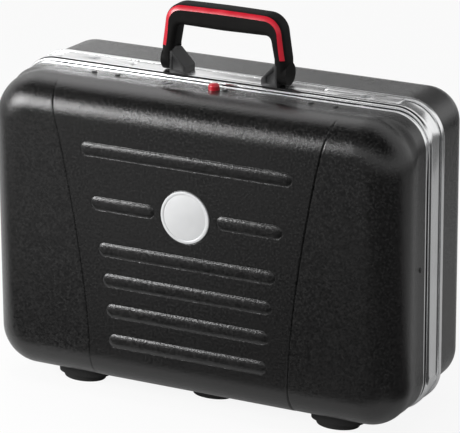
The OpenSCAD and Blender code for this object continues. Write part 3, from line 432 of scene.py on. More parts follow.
def perimeter(core, long_n, short_n, corner_n):
    """Stations round the case: corner centre and outward direction, counterclockwise seen from the front."""
    x, top, low = core
    corners = ((x, top), (-x, top), (-x, low), (x, low))
    out = []
    for i, (cx, cz) in enumerate(corners):
        for k in range(corner_n + 1):
            a = math.radians(90 * i + 90 * k / corner_n)
            out.append((cx, cz, math.cos(a), math.sin(a)))
        nx, nz = ((0, 1), (-1, 0), (0, -1), (1, 0))[i]
        ex, ez = corners[(i + 1) % 4]
        m = (long_n, short_n)[i % 2]
        for k in range(1, m):
            out.append((cx + (ex - cx) * k / m, cz + (ez - cz) * k / m, nx, nz))
    return out


def sink(v):
    """How far the lid's rim is sunk at a height above the frame's middle."""
    return LID_SINK * np.clip((v - FRAME_CORE[1] + SINK_RUN) / SINK_RUN, 0, 1)


def sweep(section, stations, sunk_from=None, lip=0.0):
    """A closed section, x outward from the corner centres and y forward, swept round the case.
    Points from sunk_from outward sink at the top, and there their back edge reaches back by lip."""
    n, m = len(section), len(stations)
    verts = []
    for cx, cz, nx, nz in stations:
        for x, y in section:
            low = float(sink(cz + nz * x)) if sunk_from is not None and x >= sunk_from else 0.0
            back = lip * low / LID_SINK if y < LID_PLANE + 1 else 0.0
            verts.append((cx + nx * x, back - y, FRAME_MID + cz + nz * x - low))
    faces = [(i * n + j, ((i + 1) % m) * n + j, ((i + 1) % m) * n + (j + 1) % n, i * n + (j + 1) % n)
             for i in range(m) for j in range(n)]
    return verts, faces


def lathe(profile, n, place):
    """Turns a profile of (radius, height) about an axis. place carries a point into the case's frame."""
    verts, faces, rings = [], [], []
    for r, h in profile:
        if r < 1e-6:
            rings.append([len(verts)])
            verts.append(place(0, 0, h))
        else:
            rings.append(list(range(len(verts), len(verts) + n)))
            verts += [place(r * math.cos(2 * math.pi * i / n), r * math.sin(2 * math.pi * i / n), h)
                      for i in range(n)]
    for a, b in zip(rings, rings[1:]):
        for i in range(n):
            j = (i + 1) % n
            if len(a) == 1 and len(b) == 1:
                continue
            if len(a) == 1:
                faces.append((a[0], b[i], b[j]))
            elif len(b) == 1:
                faces.append((a[i], b[0], a[j]))
            else:
                faces.append((a[i], b[i], b[j], a[j]))
    return verts, faces


def join(*parts):
    """One mesh of several."""
    verts, faces = [], []
    for v, f in parts:
        k = len(verts)
        verts += v
        faces += [tuple(i + k for i in q) for q in f]
    return verts, faces


# ---------------------------------------------------------------- shells
def panel_half(drop):
    """Half the raised panel's width at a distance under the case's top. It flares upward."""
    flare = (PANEL_LOW_DROP - drop) / (PANEL_LOW_DROP - PANEL_TOP_DROP)
    return PANEL_LOW_HALF + (PANEL_TOP_HALF - PANEL_LOW_HALF) * np.maximum(0, flare) ** 1.5


def stadium(x0, x1, z, grow, n=14):
    """A rib's outline, grown by a distance, or shrunk where that is negative."""
    r = RIB_W / 2 + grow
    ends = []
    for x, angles in ((x1 - RIB_W / 2, (-90, 90)), (x0 + RIB_W / 2, (90, 270))):
        ends += [(x + r * math.cos(math.radians(t)), z + r * math.sin(math.radians(t)))
                 for t in np.linspace(*angles, n)]
    return ends


def dip(distance, moat):
    """Depth of a narrow moat of round section at a distance from the relief's edge."""
    off, depth, width = moat
    return depth * np.exp(-((distance - off) / width) ** 2)


class Skin:
    """The outer skin of a shell, drawn on its unrolled outline and folded round the case."""

    FLAT = 1e-6

    def __init__(self, path, core, rounding, facing, ribs, badge):
        self.path = np.array(path, float)
        seg = np.hypot(*np.diff(self.path, axis=0).T)
        self.d = np.concatenate([[0], np.cumsum(seg)])
        self.core, self.rounding, self.facing = core, rounding, facing
        self.ribs, self.badge = ribs, badge

    def along(self, d):
        return np.interp(d, self.d, self.path[:, 0]), np.interp(d, self.d, self.path[:, 1])

    def at(self, d, reach=0.4):
        """Place and outward direction at a distance along the path."""
        x, y = self.along(d)
        (x1, y1), (x0, y0) = self.along(d + reach), self.along(d - reach)
        tx, ty = x1 - x0, y1 - y0
        length = np.maximum(np.hypot(tx, ty), 1e-9)
        return x, y, -ty / length, tx / length

    def shift(self, u, v, nx, nz, y, reach):
        """How far a point moves in and down, as the body's corners are rounder than the rim's
        and the lid's top is sunk."""
        x, top, low = self.core
        extra = np.where(v > 0, *self.rounding) * ease((y - ROUNDING_FROM) / ROUNDING_RUN)
        far_v = np.where(v > 0, v - top, low - v)
        g = extra * np.clip((np.abs(u) - x + ROUNDING_SPAN) / ROUNDING_SPAN, 0, 1) \
            * np.clip((far_v + ROUNDING_SPAN) / ROUNDING_SPAN, 0, 1)
        return g * (nx * reach - np.sign(u)), g * (nz * reach - np.sign(v)) - sink(v)

    def place(self, uv):
        """Folds points of the unrolled outline into the case's frame."""
        uv = np.asarray(uv, float)
        x0, top, low = self.core
        c = np.clip(uv, [-x0, low], [x0, top])
        delta = uv - c
        d = np.hypot(delta[:, 0], delta[:, 1])
        n = np.where(d[:, None] > self.FLAT, delta / np.maximum(d, self.FLAT)[:, None], 0.0)
        x, y, nx, ny = self.at(d)
        flat = d < self.FLAT
        x, nx = np.where(flat, 0, x), np.where(flat, 0, nx)
        ny = np.where(flat, 1, ny)
        px = c[:, 0] + n[:, 0] * x
        pz = c[:, 1] + n[:, 1] * x
        h = self.height(uv, px, pz, ny)
        if self.rounding:
            mx, mz = self.shift(uv[:, 0], uv[:, 1], n[:, 0], n[:, 1], y, np.minimum(1, d / LID_ARC[0]))
            px, pz = px + mx, pz + mz
        return np.stack([px + n[:, 0] * nx * h, -self.facing * (y + ny * h),
                         FRAME_MID + pz + n[:, 1] * nx * h], 1)

    def height(self, uv, px, pz, front):
        """Relief over the smooth skin: panel with crease, ribs with moats, the badge's seat."""
        u, v = uv[:, 0], uv[:, 1]
        e = np.abs(px) - panel_half(CASE_H / 2 - pz)
        inside = np.abs(u) < self.core[0] + 2
        h = PANEL_RISE * ease((PANEL_EDGE / 2 - e) / PANEL_EDGE) - dip(e, CREASE)
        h = np.where(inside, h * ease((front - PANEL_FADE[0]) / PANEL_FADE[1]), 0.0)
        half = RIB_W / 2
        for x0, x1, z in self.ribs:
            past = np.maximum(0, np.maximum(x0 + half - u, u - x1 + half))
            s = np.hypot(past, v - z) - half
            swell = 1 - np.clip((s + half) / (half + RIB_EDGE), 0, 1) ** 2
            h += RIB_RISE * swell ** 0.8 - dip(s, RIB_MOAT)
        if self.badge:
            rho = np.hypot(u, v - self.badge)
            h = np.where(rho < BADGE_SEAT_R, PANEL_RISE - BADGE_SEAT_D, h)
            h -= dip(rho - BADGE_SEAT_R, BADGE_MOAT)
        return h

    def crease(self, side, off, reach):
        """A line along the panel's edge, off it by a distance."""
        _, top, low = self.core
        line = []
        for v in np.linspace(low - reach, top + reach, 120):
            d = max(0.0, v - top, low - v)
            pz = v
            if d > 0:
                x = float(self.at(np.array([d]))[0][0])
                pz = top + x if v > 0 else low - x
            line.append((side * (float(panel_half(CASE_H / 2 - pz)) + off), v))
        return line

    def mesh(self, stations_d, reach):
        """The skin's mesh, its edges along the relief's. reach is how far creases run past the core."""
        pts, edges = [], []
        x0, top, low = self.core

        def trace(line, closed=True):
            k = len(pts)
            pts.extend(line)
            m = len(line)
            edges.extend((k + i, k + (i + 1) % m) for i in range(m if closed else m - 1))

        for d in stations_d:
            trace([(cx + nx * d, cz + nz * d) for cx, cz, nx, nz in shell_stations(self.core)])
        for side in (-1, 1):
            for off in (-1.9, -1.1, -0.55, -0.2, 0.15, 0.45, 0.75, 1.1, 1.5, 2.1, 3.0):
                trace(self.crease(side, off, reach), False)
        for x1, x2, z in self.ribs:
            for grow in (3.0, 2.2, 1.6, 1.15, 0.7, 0.3, -0.3, -1.1, -2.0, -3.0, -4.1, -5.2):
                trace(stadium(x1, x2, z, grow))
        if self.badge:
            for r in (31, 30.1, 29.5, 28.9, 28.45, 28.3, 26.0):
                turns = [2 * math.pi * i / BADGE_N for i in range(BADGE_N)]
                trace([(r * math.cos(t), self.badge + r * math.sin(t)) for t in turns])
        for x in np.arange(-x0 + 10, x0 - 5, 20.0):
            for z in np.arange(low + 10, top - 5, 20.0):
                pts.append((float(x), float(z)))
        out = delaunay_2d_cdt([Vector(p) for p in pts], edges, [], 0, 1e-4)
        uv = np.array([(v[0], v[1]) for v in out[0]])
        return [tuple(p) for p in self.place(uv)], [tuple(f) for f in out[2]]


def shell_stations(core):
    return perimeter(core, 57, 36, 16)


def ring_of(core, x, y):
    """A loop of points (x, z, distance forward) round a shell."""
    return [(cx + nx * x, cz + nz * x, y) for cx, cz, nx, nz in shell_stations(core)]


def rings_of(core, points):
    return [ring_of(core, x, y) for x, y in points]


def outer_of(a, b):
    """The outer one of two loops, point by point."""
    return [p if p[0] * nx + p[1] * nz > q[0] * nx + q[1] * nz else q
            for p, q, (_, _, nx, nz) in zip(a, b, shell_stations(FRAME_CORE))]


def shell(name, body, node, skin, stations_d, reach, rings):
    """The skin outside, then its edge and the wall inside as loops. The last loop is closed by a face."""
    skin_v, skin_f = skin.mesh(stations_d, reach)
    m = len(rings[0])
    v = []
    for ring in rings:
        for (px, pz, y), (_, _, nx, nz) in zip(ring, shell_stations(skin.core)):
            if skin.rounding:
                mx, mz = skin.shift(np.array(px), np.array(pz), nx, nz, y, 1.0)
                px, pz = px + float(mx), pz + float(mz)
            v.append((px, -skin.facing * y, FRAME_MID + pz))
    f = [(i * m + k, i * m + (k + 1) % m, (i + 1) * m + (k + 1) % m, (i + 1) * m + k)
         for i in range(len(rings) - 1) for k in range(m)]
    f.append(tuple((len(rings) - 1) * m + k for k in range(m)))
    verts, faces = join((skin_v, skin_f), (v, f))
    piece(name, verts, faces, SHELL, body, (node,), SHELL_SHARP, weld=0.003)


def rib_list(gap_half):
    """Ribs as (from, to, height): one per row, and one at the badge's height, parted if there is a gap."""
    out = []
    for drop, gap in [(drop, 0) for drop in RIB_ROWS] + [(BADGE_DROP, gap_half)]:
        half, z = float(panel_half(drop)) - RIB_END, CASE_H / 2 - drop
        out += [(-half, -gap, z), (gap, half, z)] if gap else [(-half, half, z)]
    return out


BADGE_V = CASE_H / 2 - BADGE_DROP

# Lid: a round in front, a flank, and a long swell down to the rim
LID_R = 36.0
LID_ARC = (3.7, HALF_DEPTH - LID_R)
SWELL = (58.4, 37.0)
SWELL_N = 14
LID_X, LID_WAIST, LID_RIM_X = 39.7, 1.7, 38.0
INSIDE_X = 33.9     # the inside of both shells' walls at their rims


def make_lid_shell():
    """The lid: panel, ribs and badge seat outside, a plain wall inside."""
    run = SWELL[1] - SWELL[0]
    swell = [(LID_X - LID_WAIST * (1 - math.cos(math.radians(180 * k / SWELL_N))) / 2,
              SWELL[0] + run * k / SWELL_N) for k in range(1, SWELL_N + 1)]
    outer = [(0, HALF_DEPTH)] + arc(*LID_ARC, LID_R, LID_R, 90, 0, 60) + swell \
        + [(LID_RIM_X, SHELL_PLANE + 0.6)]
    skin = Skin(outer, FRAME_CORE, LID_ROUNDING, 1, rib_list(BADGE_GAP_X), BADGE_V)
    arc0, arc1 = LID_ARC[0], LID_ARC[0] + math.pi / 2 * LID_R
    end = float(skin.d[-1])
    stations = [2.4] + list(np.linspace(arc0, arc1, 23)) + list(np.linspace(arc1 + 2, arc1 - run, 11)) \
        + [end - 1.0, end]
    edge = [outer[-1], (37.8, SHELL_PLANE + 0.28), (37.4, SHELL_PLANE + 0.2), (34.2, SHELL_PLANE + 0.2)]
    inner = [(INSIDE_X, SHELL_PLANE + 0.5), (INSIDE_X, 40.4), (36.0, 53.0)] \
        + arc(*LID_ARC, LID_R - WALL, LID_R - WALL, 0, 90, 16) + [(3.7, HALF_DEPTH - WALL)]
    shell("lid_shell_moulding", "lid", "lid_shell", skin, stations, 52.0, rings_of(FRAME_CORE, edge + inner))


# Base: its body stands on a smaller outline than its tongue in the frame
BASE_R = 28.0
BASE_ARC = (8.5, HALF_DEPTH - BASE_R)


def ledge(base_x, frame_x, y):
    """A loop on whichever stands further out: the body's outline or the frame's."""
    return outer_of(ring_of(BASE_CORE, base_x, y), ring_of(FRAME_CORE, frame_x, y))


def make_base_shell():
    """The base: the same panel and ribs, a shoulder on the frame and a tongue in its groove."""
    outer = [(0, HALF_DEPTH)] + arc(*BASE_ARC, BASE_R, BASE_R, 90, 0, 60) + [(37.87, 23.0)]
    skin = Skin(outer, BASE_CORE, None, -1, rib_list(0), None)
    arc0, arc1 = BASE_ARC[0], BASE_ARC[0] + math.pi / 2 * BASE_R
    end = float(skin.d[-1])
    stations = [7.2] + list(np.linspace(arc0, arc1, 19)) + [arc1 + 1.5, arc1 + 24, end - 1.0, end]
    shoulder = [ledge(37.9, 35.6, 22.5), ledge(38.0, 35.8, 22.1),
                ledge(38.0, 35.8, 19.4), ledge(37.7, 35.7, 19.0)]
    tongue = [(35.7, 18.8), (35.8, 9.7), (INSIDE_X, 9.7), (INSIDE_X, 22.5)]
    inner = [(INSIDE_X, 25.0)] + arc(*BASE_ARC, BASE_R - WALL, BASE_R - WALL, 0, 90, 14) \
        + [(8.4, HALF_DEPTH - WALL)]
    rings = [ring_of(BASE_CORE, *outer[-1])] + shoulder + rings_of(FRAME_CORE, tongue) \
        + rings_of(BASE_CORE, inner)
    shell("base_shell_moulding", "base", "base_shell", skin, stations, 46.0, rings)


make_lid_shell()
make_base_shell()


# ---------------------------------------------------------------- frames and seal
AROUND = perimeter(FRAME_CORE, 13, 8, 28)
POCKET_FLOOR = FRAME_TOP - 4.5


def mirrored(side, a, b):
    """A span of x on one side of the case, in rising order."""
    return sorted((side * a, side * b))


def make_base_frame():
    """The wide extrusion: channel, polished step, and a groove that holds the shell's edge."""
    step_n = 10
    step = [(R - STEP_D * (1 - math.cos(math.radians(180 * k / step_n))) / 2, 12.6 + 2.2 * k / step_n)
            for k in range(step_n + 1)]
    channel = [(R, -FRAME_BACK), (R, -CHANNEL_BACK), (R - CHANNEL_D, -CHANNEL_BACK),
               (R - CHANNEL_D, CHANNEL_LIP), (R, CHANNEL_LIP)]
    inside = [(R - STEP_D, FRAME_FRONT), (R - SKIN_T, FRAME_FRONT), (R - SKIN_T, -8.0), (R - FLANGE_IN, -8.0),
              (R - FLANGE_IN, -FRAME_BACK), (R - FLANGE_OUT, -FRAME_BACK), (R - FLANGE_OUT, -9.5),
              (R - SKIN_T, -9.5), (R - SKIN_T, -FRAME_BACK)]
    radii = [0.9, 0.35, 0.15, 0.15, 0.35] + [0] * len(step) + [0.35, 0.3, 0.1, 0.2, 0.3, 0.3, 0.1, 0.1, 0.3]
    o = piece("base_frame_extrusion", *sweep(rounded(channel + step + inside, radii), AROUND), ALU, "base",
              ("base_frame",), METAL_SHARP)
    pockets = []
    for side in (-1, 1):
        for x, half, y0, y1, top in ((LEVER_PIN_X, 2.1, -11.0, 12.0, FRAME_TOP + 0.5),
                                     (LOCK_X, 7.8, CHANNEL_MID - 7.5, CHANNEL_MID + 7.5, FRAME_TOP - 1.5),
                                     (HOOK_X, 5.8, -4.8, 2.8, FRAME_TOP - 1.5)):
            pockets.append(block(*mirrored(side, x - half, x + half), y0, y1, POCKET_FLOOR, top))
    boolean(o, pockets, "DIFFERENCE", METAL_SHARP)


def make_lid_frame():
    """The narrow extrusion: a lip on the outside, a flange in the shell and a groove for the seal."""
    flange_end, groove_end = SHELL_PLANE + 20.7, LID_PLANE - 11.8
    section = rounded(
        [(R - LID_INSET, LID_PLANE), (R - LID_INSET, SHELL_PLANE), (R - FLANGE_OUT, SHELL_PLANE),
         (R - FLANGE_OUT, flange_end), (R - FLANGE_IN, flange_end), (R - FLANGE_IN, LID_PLANE),
         (R - 6.7, LID_PLANE), (R - 6.7, groove_end), (R - 5.2, groove_end), (R - 5.2, LID_PLANE)],
        [0.7, 0.7, 0.1, 0.3, 0.3, 0.1, 0.1, 0.3, 0.3, 0.1])
    piece("lid_frame_extrusion", *sweep(section, AROUND, R - SKIN_T, LIP_REACH), ALU, "lid", ("lid_frame",),
          METAL_SHARP)


def make_seal():
    """A bead between the frames, narrower toward its face."""
    low, top, face = R - 4.8, R - 2.6, LID_PLANE - 3.4
    section = rounded([(low, LID_PLANE), (top, LID_PLANE), (top, LID_PLANE - 1.6), (top - 0.35, face),
                       (low + 0.45, face), (low, LID_PLANE - 1.6)], [0.1, 0.1, 0.5, 0.7, 0.7, 0.5])
    piece("lid_seal_bead", *sweep(section, AROUND, R - 4.5), RUBBER, "lid", ("lid_seal",),
          METAL_SHARP)


make_base_frame()
make_lid_frame()
make_seal()


# ---------------------------------------------------------------- plates and rivets
PLATE_Y = (-CHANNEL_LIP + 0.12, CHANNEL_BACK - 0.15)
PLATE_Z = (LEVEL, LEVEL + PLATE_T)
PLATE_BEVEL = 0.12
SCOOP_R, SCOOP_RUN, SCOOP_DEPTH = 11.4, 4.0, 0.8


def make_top_plate():
    """The plate in the channel between the levers, under the brackets."""
    half = PLATE_END - PLATE_GAP
    o = piece("top_plate", *block(-half, half, *PLATE_Y, *PLATE_Z), PLATE, "base", ("cover_plate",))
    soften(o, PLATE_BEVEL)


def make_latch_plate(name, side):
    """A lever with a knuckle about its pin, a hole for the lock and a scoop for the thumb."""
    x0, x1 = mirrored(side, PLATE_END + PLATE_GAP, LEVER_PIN_X)
    o = piece("latch_plate_" + name, *block(x0, x1, *PLATE_Y, *PLATE_Z), PLATE, "latch_" + name,
              ("latch_lever_" + name,))
    boolean(o, [rod("y", side * LEVER_PIN_X, 0, LEVEL, PLATE_T, *PLATE_Y, 40)], "UNION")
    scoop_z = PLATE_Z[1] + SCOOP_R - SCOOP_DEPTH
    boolean(o, [rod("z", side * LOCK_X, CHANNEL_MID, 0, LOCK_HOLE_R, LEVEL - 3, LEVEL + 3, 64),
                rod("x", 0, sum(PLATE_Y) / 2, scoop_z, SCOOP_R,
                    *mirrored(side, PLATE_END - 1, PLATE_END + SCOOP_RUN), 96),
                rod("y", side * LEVER_PIN_X, 0, LEVEL, LEVER_PIN_R, -20, 20, 24)], "DIFFERENCE")
    soften(o, PLATE_BEVEL)


def rivet(deep, place):
    """Domed head outside, shank, and the head formed inside."""
    dome = [(RIVET_HEAD_R * math.sin(math.radians(t)), 1.2 * math.cos(math.radians(t)))
            for t in (0, 12, 24, 36, 48, 60, 72, 82)]
    shank = [(RIVET_HEAD_R, 0.0), (RIVET_SHANK_R, 0.0), (RIVET_SHANK_R, 1 - deep)]
    formed = [(2.7, 1 - deep), (2.2, -deep), (0, -deep)]
    return lathe(dome + shank + formed, 28, place)


def make_rivets():
    """Five through the lid's rim on the top and one on either side."""
    top, side_x, side_deep = FRAME_TOP - LID_INSET - LID_SINK, CASE_W / 2 - LID_INSET, 6.8
    # Middle and inner end of each rivet on the top
    row = ((-141, 336.2), (-113, 336.2), (14, 334.8), (113, 336.2), (141, 336.2))
    heads = [rivet(top - low, lambda x, y, z, c=c: (c + x, -RIVET_Y + y, top + z)) for c, low in row]
    heads += [rivet(side_deep, lambda x, y, z, s=s: (s * (side_x + z), -RIVET_Y + x, FRAME_MID + y))
              for s in (-1, 1)]
    piece("rim_rivets", *join(*heads), RIVET, "lid", ("lid_rivets",), METAL_SHARP)


make_top_plate()
for name, side in SIDES:
    make_latch_plate(name, side)
make_rivets()


# ---------------------------------------------------------------- handle
HANDLE_HALF, HANDLE_H, HANDLE_B, GRIP_H = 73.2, 75.0, 12.0, 23.0
LEG_W, LEG_FOOT, LEG_N = 14.5, 16.0, 4
BEND_R, CROOK_R, BEND_N = 21.0, 6.0, 18
BEND_X = HANDLE_HALF - 4.4 - BEND_R
CROOK_X = BEND_X + 1.2
PIVOT_H, PIN_HOLE_R, PIN_FIT_R = 12.5, 2.55, 2.51
PIVOT_Z = FRAME_TOP + PIVOT_H
INLAY_W = 5.0
BRACKET_OUT, BRACKET_R = HANDLE_HALF - 10.2, 15.0
BRACKET_IN, BRACKET_LOW, BRACKET_H, BRACKET_B = BRACKET_OUT - 18.5, FRAME_TOP - 0.2, 27.5, 11
BRACKET_SPAN = (40.0, 80.0)     # reaches past a bracket on both sides
FIELD_D, BRACKET_BEVEL = 0.6, 0.55


def line(a, b, n):
    return [(a[0] + (b[0] - a[0]) * i / n, a[1] + (b[1] - a[1]) * i / n) for i in range(n)]


def handle_line(foot, knee, bend, mid, end):
    """Half of one edge of the handle: a leg, a bend and the grip to its middle."""
    leg = line(foot, knee, LEG_N) + line(knee, bend[0], 4)
    return leg + bend + line(bend[-1], mid, 4)[1:] + line(mid, end, 4) + [end]


UNDER = HANDLE_H - GRIP_H
OUTER_LINE = handle_line((HANDLE_HALF, PIVOT_H), (HANDLE_HALF - 0.4, PIVOT_H + LEG_FOOT),
                         arc(BEND_X, HANDLE_H - BEND_R, BEND_R, BEND_R, 6, 90, BEND_N),
                         (BEND_X / 2, HANDLE_H + 0.4), (0, HANDLE_H + 0.6))
INNER_LINE = handle_line((HANDLE_HALF - LEG_W, PIVOT_H), (HANDLE_HALF - LEG_W, PIVOT_H + LEG_FOOT),
                         arc(CROOK_X, UNDER - CROOK_R, CROOK_R, CROOK_R, 12, 90, BEND_N),
                         (BEND_X / 2, UNDER - 0.4), (0, UNDER - 0.8))
N = len(OUTER_LINE)
ALONG_HANDLE = [(i, 1) for i in range(N)] + [(i, -1) for i in range(N - 2, -1, -1)]


def groove(a, b):
    """The inlay's groove in a section of half width a and half depth b."""
    return [(a - INLAY_W - 1.4, -b), (a - INLAY_W - 0.6, -b + 1.2), (a - 1.6, -b + 3.9), (a - 1.4, -b + 2.5)]


def handle_section(a, b, cut_groove):
    """The handle's section, with a groove for an inlay on either face, or flat in its place."""
    r = min(6.0, 0.75 * a)
    g = groove(a, b)
    (gx, gy), (hx, hy) = g[0], g[3]
    half = arc(-a + r, -b + r, r, r, 180, 270, 8)
    half += [(gx - 0.5, gy)]
    if cut_groove:
        half += [(gx - 0.12, gy), (gx, gy + 0.15), g[1], g[2], (hx - 0.01, hy + 0.12), (hx + 0.12, hy + 0.06)]
    else:
        half += [(gx + (hx - gx) * t, gy + (hy - gy) * t * t) for t in (0.02, 0.2, 0.4, 0.6, 0.8, 1.0)]
    half += [(a - 0.75, -b + 3.45), (a - 0.3, -b + 4.8), (a - 0.06, -b + 6.4), (a, -b + 8.5)]
    return half + [(x, -y) for x, y in reversed(half)]


def inlay_section(a, b, face):
    """The inlay's section in the groove of one face, a little proud of it."""
    g, gap, proud = groove(a, b), 0.06, 0.15
    (gx, gy), (hx, hy) = g[0], g[3]
    p = [(gx + gap, gy - proud), (g[1][0] + gap, g[1][1] - gap), (g[2][0] - gap, g[2][1] - 2 * gap),
         (hx - gap, hy - proud), ((gx + hx) / 2 + 0.55, (gy + hy) / 2 - proud - 0.3)]
    return [(x, -y) for x, y in p] if face > 0 else p[::-1]


def half_width(i):
    """Half the handle's width in its plane at the i-th station."""
    return (Vector(OUTER_LINE[i]) - Vector(INNER_LINE[i])).length / 2


def handle_ring(i, side, section):
    """A section set across the handle at its i-th station."""
    o, n = Vector(OUTER_LINE[i]), Vector(INNER_LINE[i])
    a = (o - n).length / 2
    u, m = (o - n) / (2 * a), (o + n) / 2
    return [(side * (m[0] + u[0] * x), CHANNEL_MID + y, FRAME_TOP + m[1] + u[1] * x) for x, y in section]


def loft(rings):
    """A closed tube through rings of the same number of points."""
    n, m = len(rings[0]), len(rings)
    v = [p for r in rings for p in r]
    f = [(i * n + j, (i + 1) * n + j, (i + 1) * n + (j + 1) % n, i * n + (j + 1) % n)
         for i in range(m - 1) for j in range(n)]
    return v, f + [tuple(range(n)), tuple(range(m * n - 1, (m - 1) * n - 1, -1))]


def pivot_rod(side, r, a, b, n=96):
    return rod("x", 0, CHANNEL_MID, PIVOT_Z, r, *mirrored(side, a, b), n)


def make_grip():
    """The handle's body, with round eyes about its pins."""
    rings = [handle_ring(i, s, handle_section(half_width(i), HANDLE_B, i >= LEG_N)) for i, s in ALONG_HANDLE]
    o = piece("handle_grip", *loft(rings), GRIP, "handle", ("handle",))
    inner = BRACKET_OUT + 0.3
    boolean(o, [pivot_rod(s, HANDLE_B, inner, HANDLE_HALF - 0.012) for s in (-1, 1)], "UNION")
    cuts = ((BRACKET_R + 0.4, 20.0, inner), (PIN_HOLE_R, 60.0, HANDLE_HALF - 2.5))
    boolean(o, [pivot_rod(s, r, a, b) for s in (-1, 1) for r, a, b in cuts], "DIFFERENCE")


def make_stripes():
    """The inlays, one on each face, from leg to leg."""
    stations = [(i, s) for i, s in ALONG_HANDLE if i >= LEG_N]
    stripes = [loft([handle_ring(i, s, inlay_section(half_width(i), HANDLE_B, face)) for i, s in stations])
               for face in (-1, 1)]
    piece("handle_stripes", *join(*stripes), RED, "handle", ("handle_inlays",))


def prism_y(outline, y0, y1):
    """A closed prism from an outline of (x, z), between two depths."""
    n = len(outline)
    v = [(x, y, z) for y in (y0, y1) for x, z in outline]
    return v, [tuple(range(n)), tuple(range(2 * n - 1, n - 1, -1))] \
        + [(i, (i + 1) % n, n + (i + 1) % n, n + i) for i in range(n)]


def make_bracket(name, side):
    """A wedge that rises to a round about the pin, with a sunk field on either face."""
    top = BRACKET_LOW + BRACKET_H
    wedge = rounded([(BRACKET_OUT, BRACKET_LOW), (BRACKET_OUT, top + 1), (BRACKET_OUT - 3, top - 4),
                     (BRACKET_IN, BRACKET_LOW + 7), (BRACKET_IN, BRACKET_LOW)], [0, 0, 2.5, 2.5, 0], 4)
    body = prism_y([(side * x, z) for x, z in wedge], CHANNEL_MID - BRACKET_B, CHANNEL_MID + BRACKET_B)
    o = piece("bracket_" + name, *body, BRACKET, "base", ("handle_bracket_" + name,))
    x0, x1 = BRACKET_SPAN
    below = block(*mirrored(side, x0, x1), CHANNEL_MID - 14.9, CHANNEL_MID + 14.9, BRACKET_LOW - 1, PIVOT_Z)
    boolean(o, [pivot_rod(side, BRACKET_R, x0, x1)], "KEEP", also=below)
    field = rounded([(BRACKET_OUT - 3, BRACKET_LOW + 3), (BRACKET_OUT - 3, top - 10),
                     (BRACKET_IN + 6, BRACKET_LOW + 9), (BRACKET_IN + 6, BRACKET_LOW + 3)], 1.0, 3)
    cuts = []
    for face in (-1, 1):
        y = CHANNEL_MID + face * BRACKET_B
        cuts.append(prism_y([(side * x, z) for x, z in field], y - FIELD_D, y + FIELD_D))
    cuts.append(pivot_rod(side, PIN_FIT_R, BRACKET_OUT - 8, BRACKET_OUT + 1))
    boolean(o, cuts, "DIFFERENCE")
    soften(o, BRACKET_BEVEL)


make_grip()
make_stripes()
for name, side in SIDES:
    make_bracket(name, side)


# ---------------------------------------------------------------- badge
def make_badge_disc():
    """A plain disc with a raised rim, in the place of the solid's."""
    ends = [NODES["badge"].matrix_world @ Vector(c) for c in NODES["badge"].bound_box]
    x0, z0 = (sum(c[i] for c in ends) / 8 / MM for i in (0, 2))
    front, back = min(c.y for c in ends) / MM, max(c.y for c in ends) / MM
    r = (max(c.x for c in ends) - min(c.x for c in ends)) / 2 / MM
    field = [(0, -0.45), (r - 4.4, -0.45), (r - 3.9, -0.6), (r - 3.4, -0.6)]
    rim = [(r - 2.9, -0.1), (r - 2.6, 0.0), (r - 0.5, 0.0), (r - 0.15, -0.15), (r, -0.5)]
    profile = field + rim + [(r, front - back), (0, front - back)]
    piece("badge_disc", *lathe(profile, 96, lambda x, y, h: (x0 + x, front - h, z0 + y)), BADGE, "lid",
          ("badge",))


make_badge_disc()

# ---------------------------------------------------------------- CAD pieces that keep their shape
CARRIED = {"button_housing": BRACKET, "base_feet": RUBBER, "lid_feet": RUBBER, "release_button": RED_GLOSS}
for name, o in NODES.items():
    if not o.hide_render:
        o.data.materials.clear()
        o.data.materials.append(CARRIED.get(name, STEEL))


# ---------------------------------------------------------------- studio
def sky(azimuth, elevation):
    """Direction from the case: azimuth to the right of its front, elevation above the horizon."""
    a, e = math.radians(azimuth), math.radians(elevation)
    return (math.sin(a) * math.cos(e), -math.cos(a) * math.cos(e), math.sin(e))


def make_camera():
    """The photo's camera, solved from the case's edges."""
    azimuth, elevation, roll = 27.8049, 18.6462, math.radians(-0.29966)
    distance, focal_px, photo_w, sensor = 3.51184, 3323.33, 460, 36
    target = Vector((0, 0.0039447, 0.345 - 0.1546042))
    back = Vector(sky(azimuth, elevation))
    right = (-back).cross(Vector((0, 0, 1))).normalized()
    up = right.cross(-back)
    right, up = (math.cos(roll) * right + math.sin(roll) * up,
                 -math.sin(roll) * right + math.cos(roll) * up)
    data = bpy.data.cameras.new("camera")
    data.sensor_width = sensor
    data.lens = focal_px * sensor / photo_w
    data.clip_start, data.clip_end = 0.05, 60
    o = bpy.data.objects.new("camera", data)
    turn = Matrix((right, up, back)).transposed().to_4x4()
    o.matrix_world = Matrix.Translation(target + back * distance) @ turn
    bpy.context.scene.collection.objects.link(o)
    bpy.context.scene.camera = o


def make_world():
    """A white studio, at full strength for camera, glossy and transmission rays and dimmer for the rest."""
    world = bpy.data.worlds.new("studio")
    bpy.context.scene.world = world
    world.use_nodes = True
    t = world.node_tree
    path = t.nodes.new("ShaderNodeLightPath")
    direct, mirror = (t.nodes.new("ShaderNodeMath") for _ in range(2))
    direct.operation = mirror.operation = "MAXIMUM"
    t.links.new(path.outputs["Is Camera Ray"], direct.inputs[0])
    t.links.new(path.outputs["Is Glossy Ray"], mirror.inputs[0])
    t.links.new(path.outputs["Is Transmission Ray"], mirror.inputs[1])
    t.links.new(mirror.outputs[0], direct.inputs[1])
    strength = t.nodes.new("ShaderNodeMapRange")
    strength.inputs["To Min"].default_value = 0.45
    strength.inputs["To Max"].default_value = 1.0
    t.links.new(direct.outputs[0], strength.inputs["Value"])
    background = t.nodes["Background"]
    t.links.new(strength.outputs["Result"], background.inputs["Strength"])
    background.inputs["Color"].default_value = (1, 1, 1, 1)


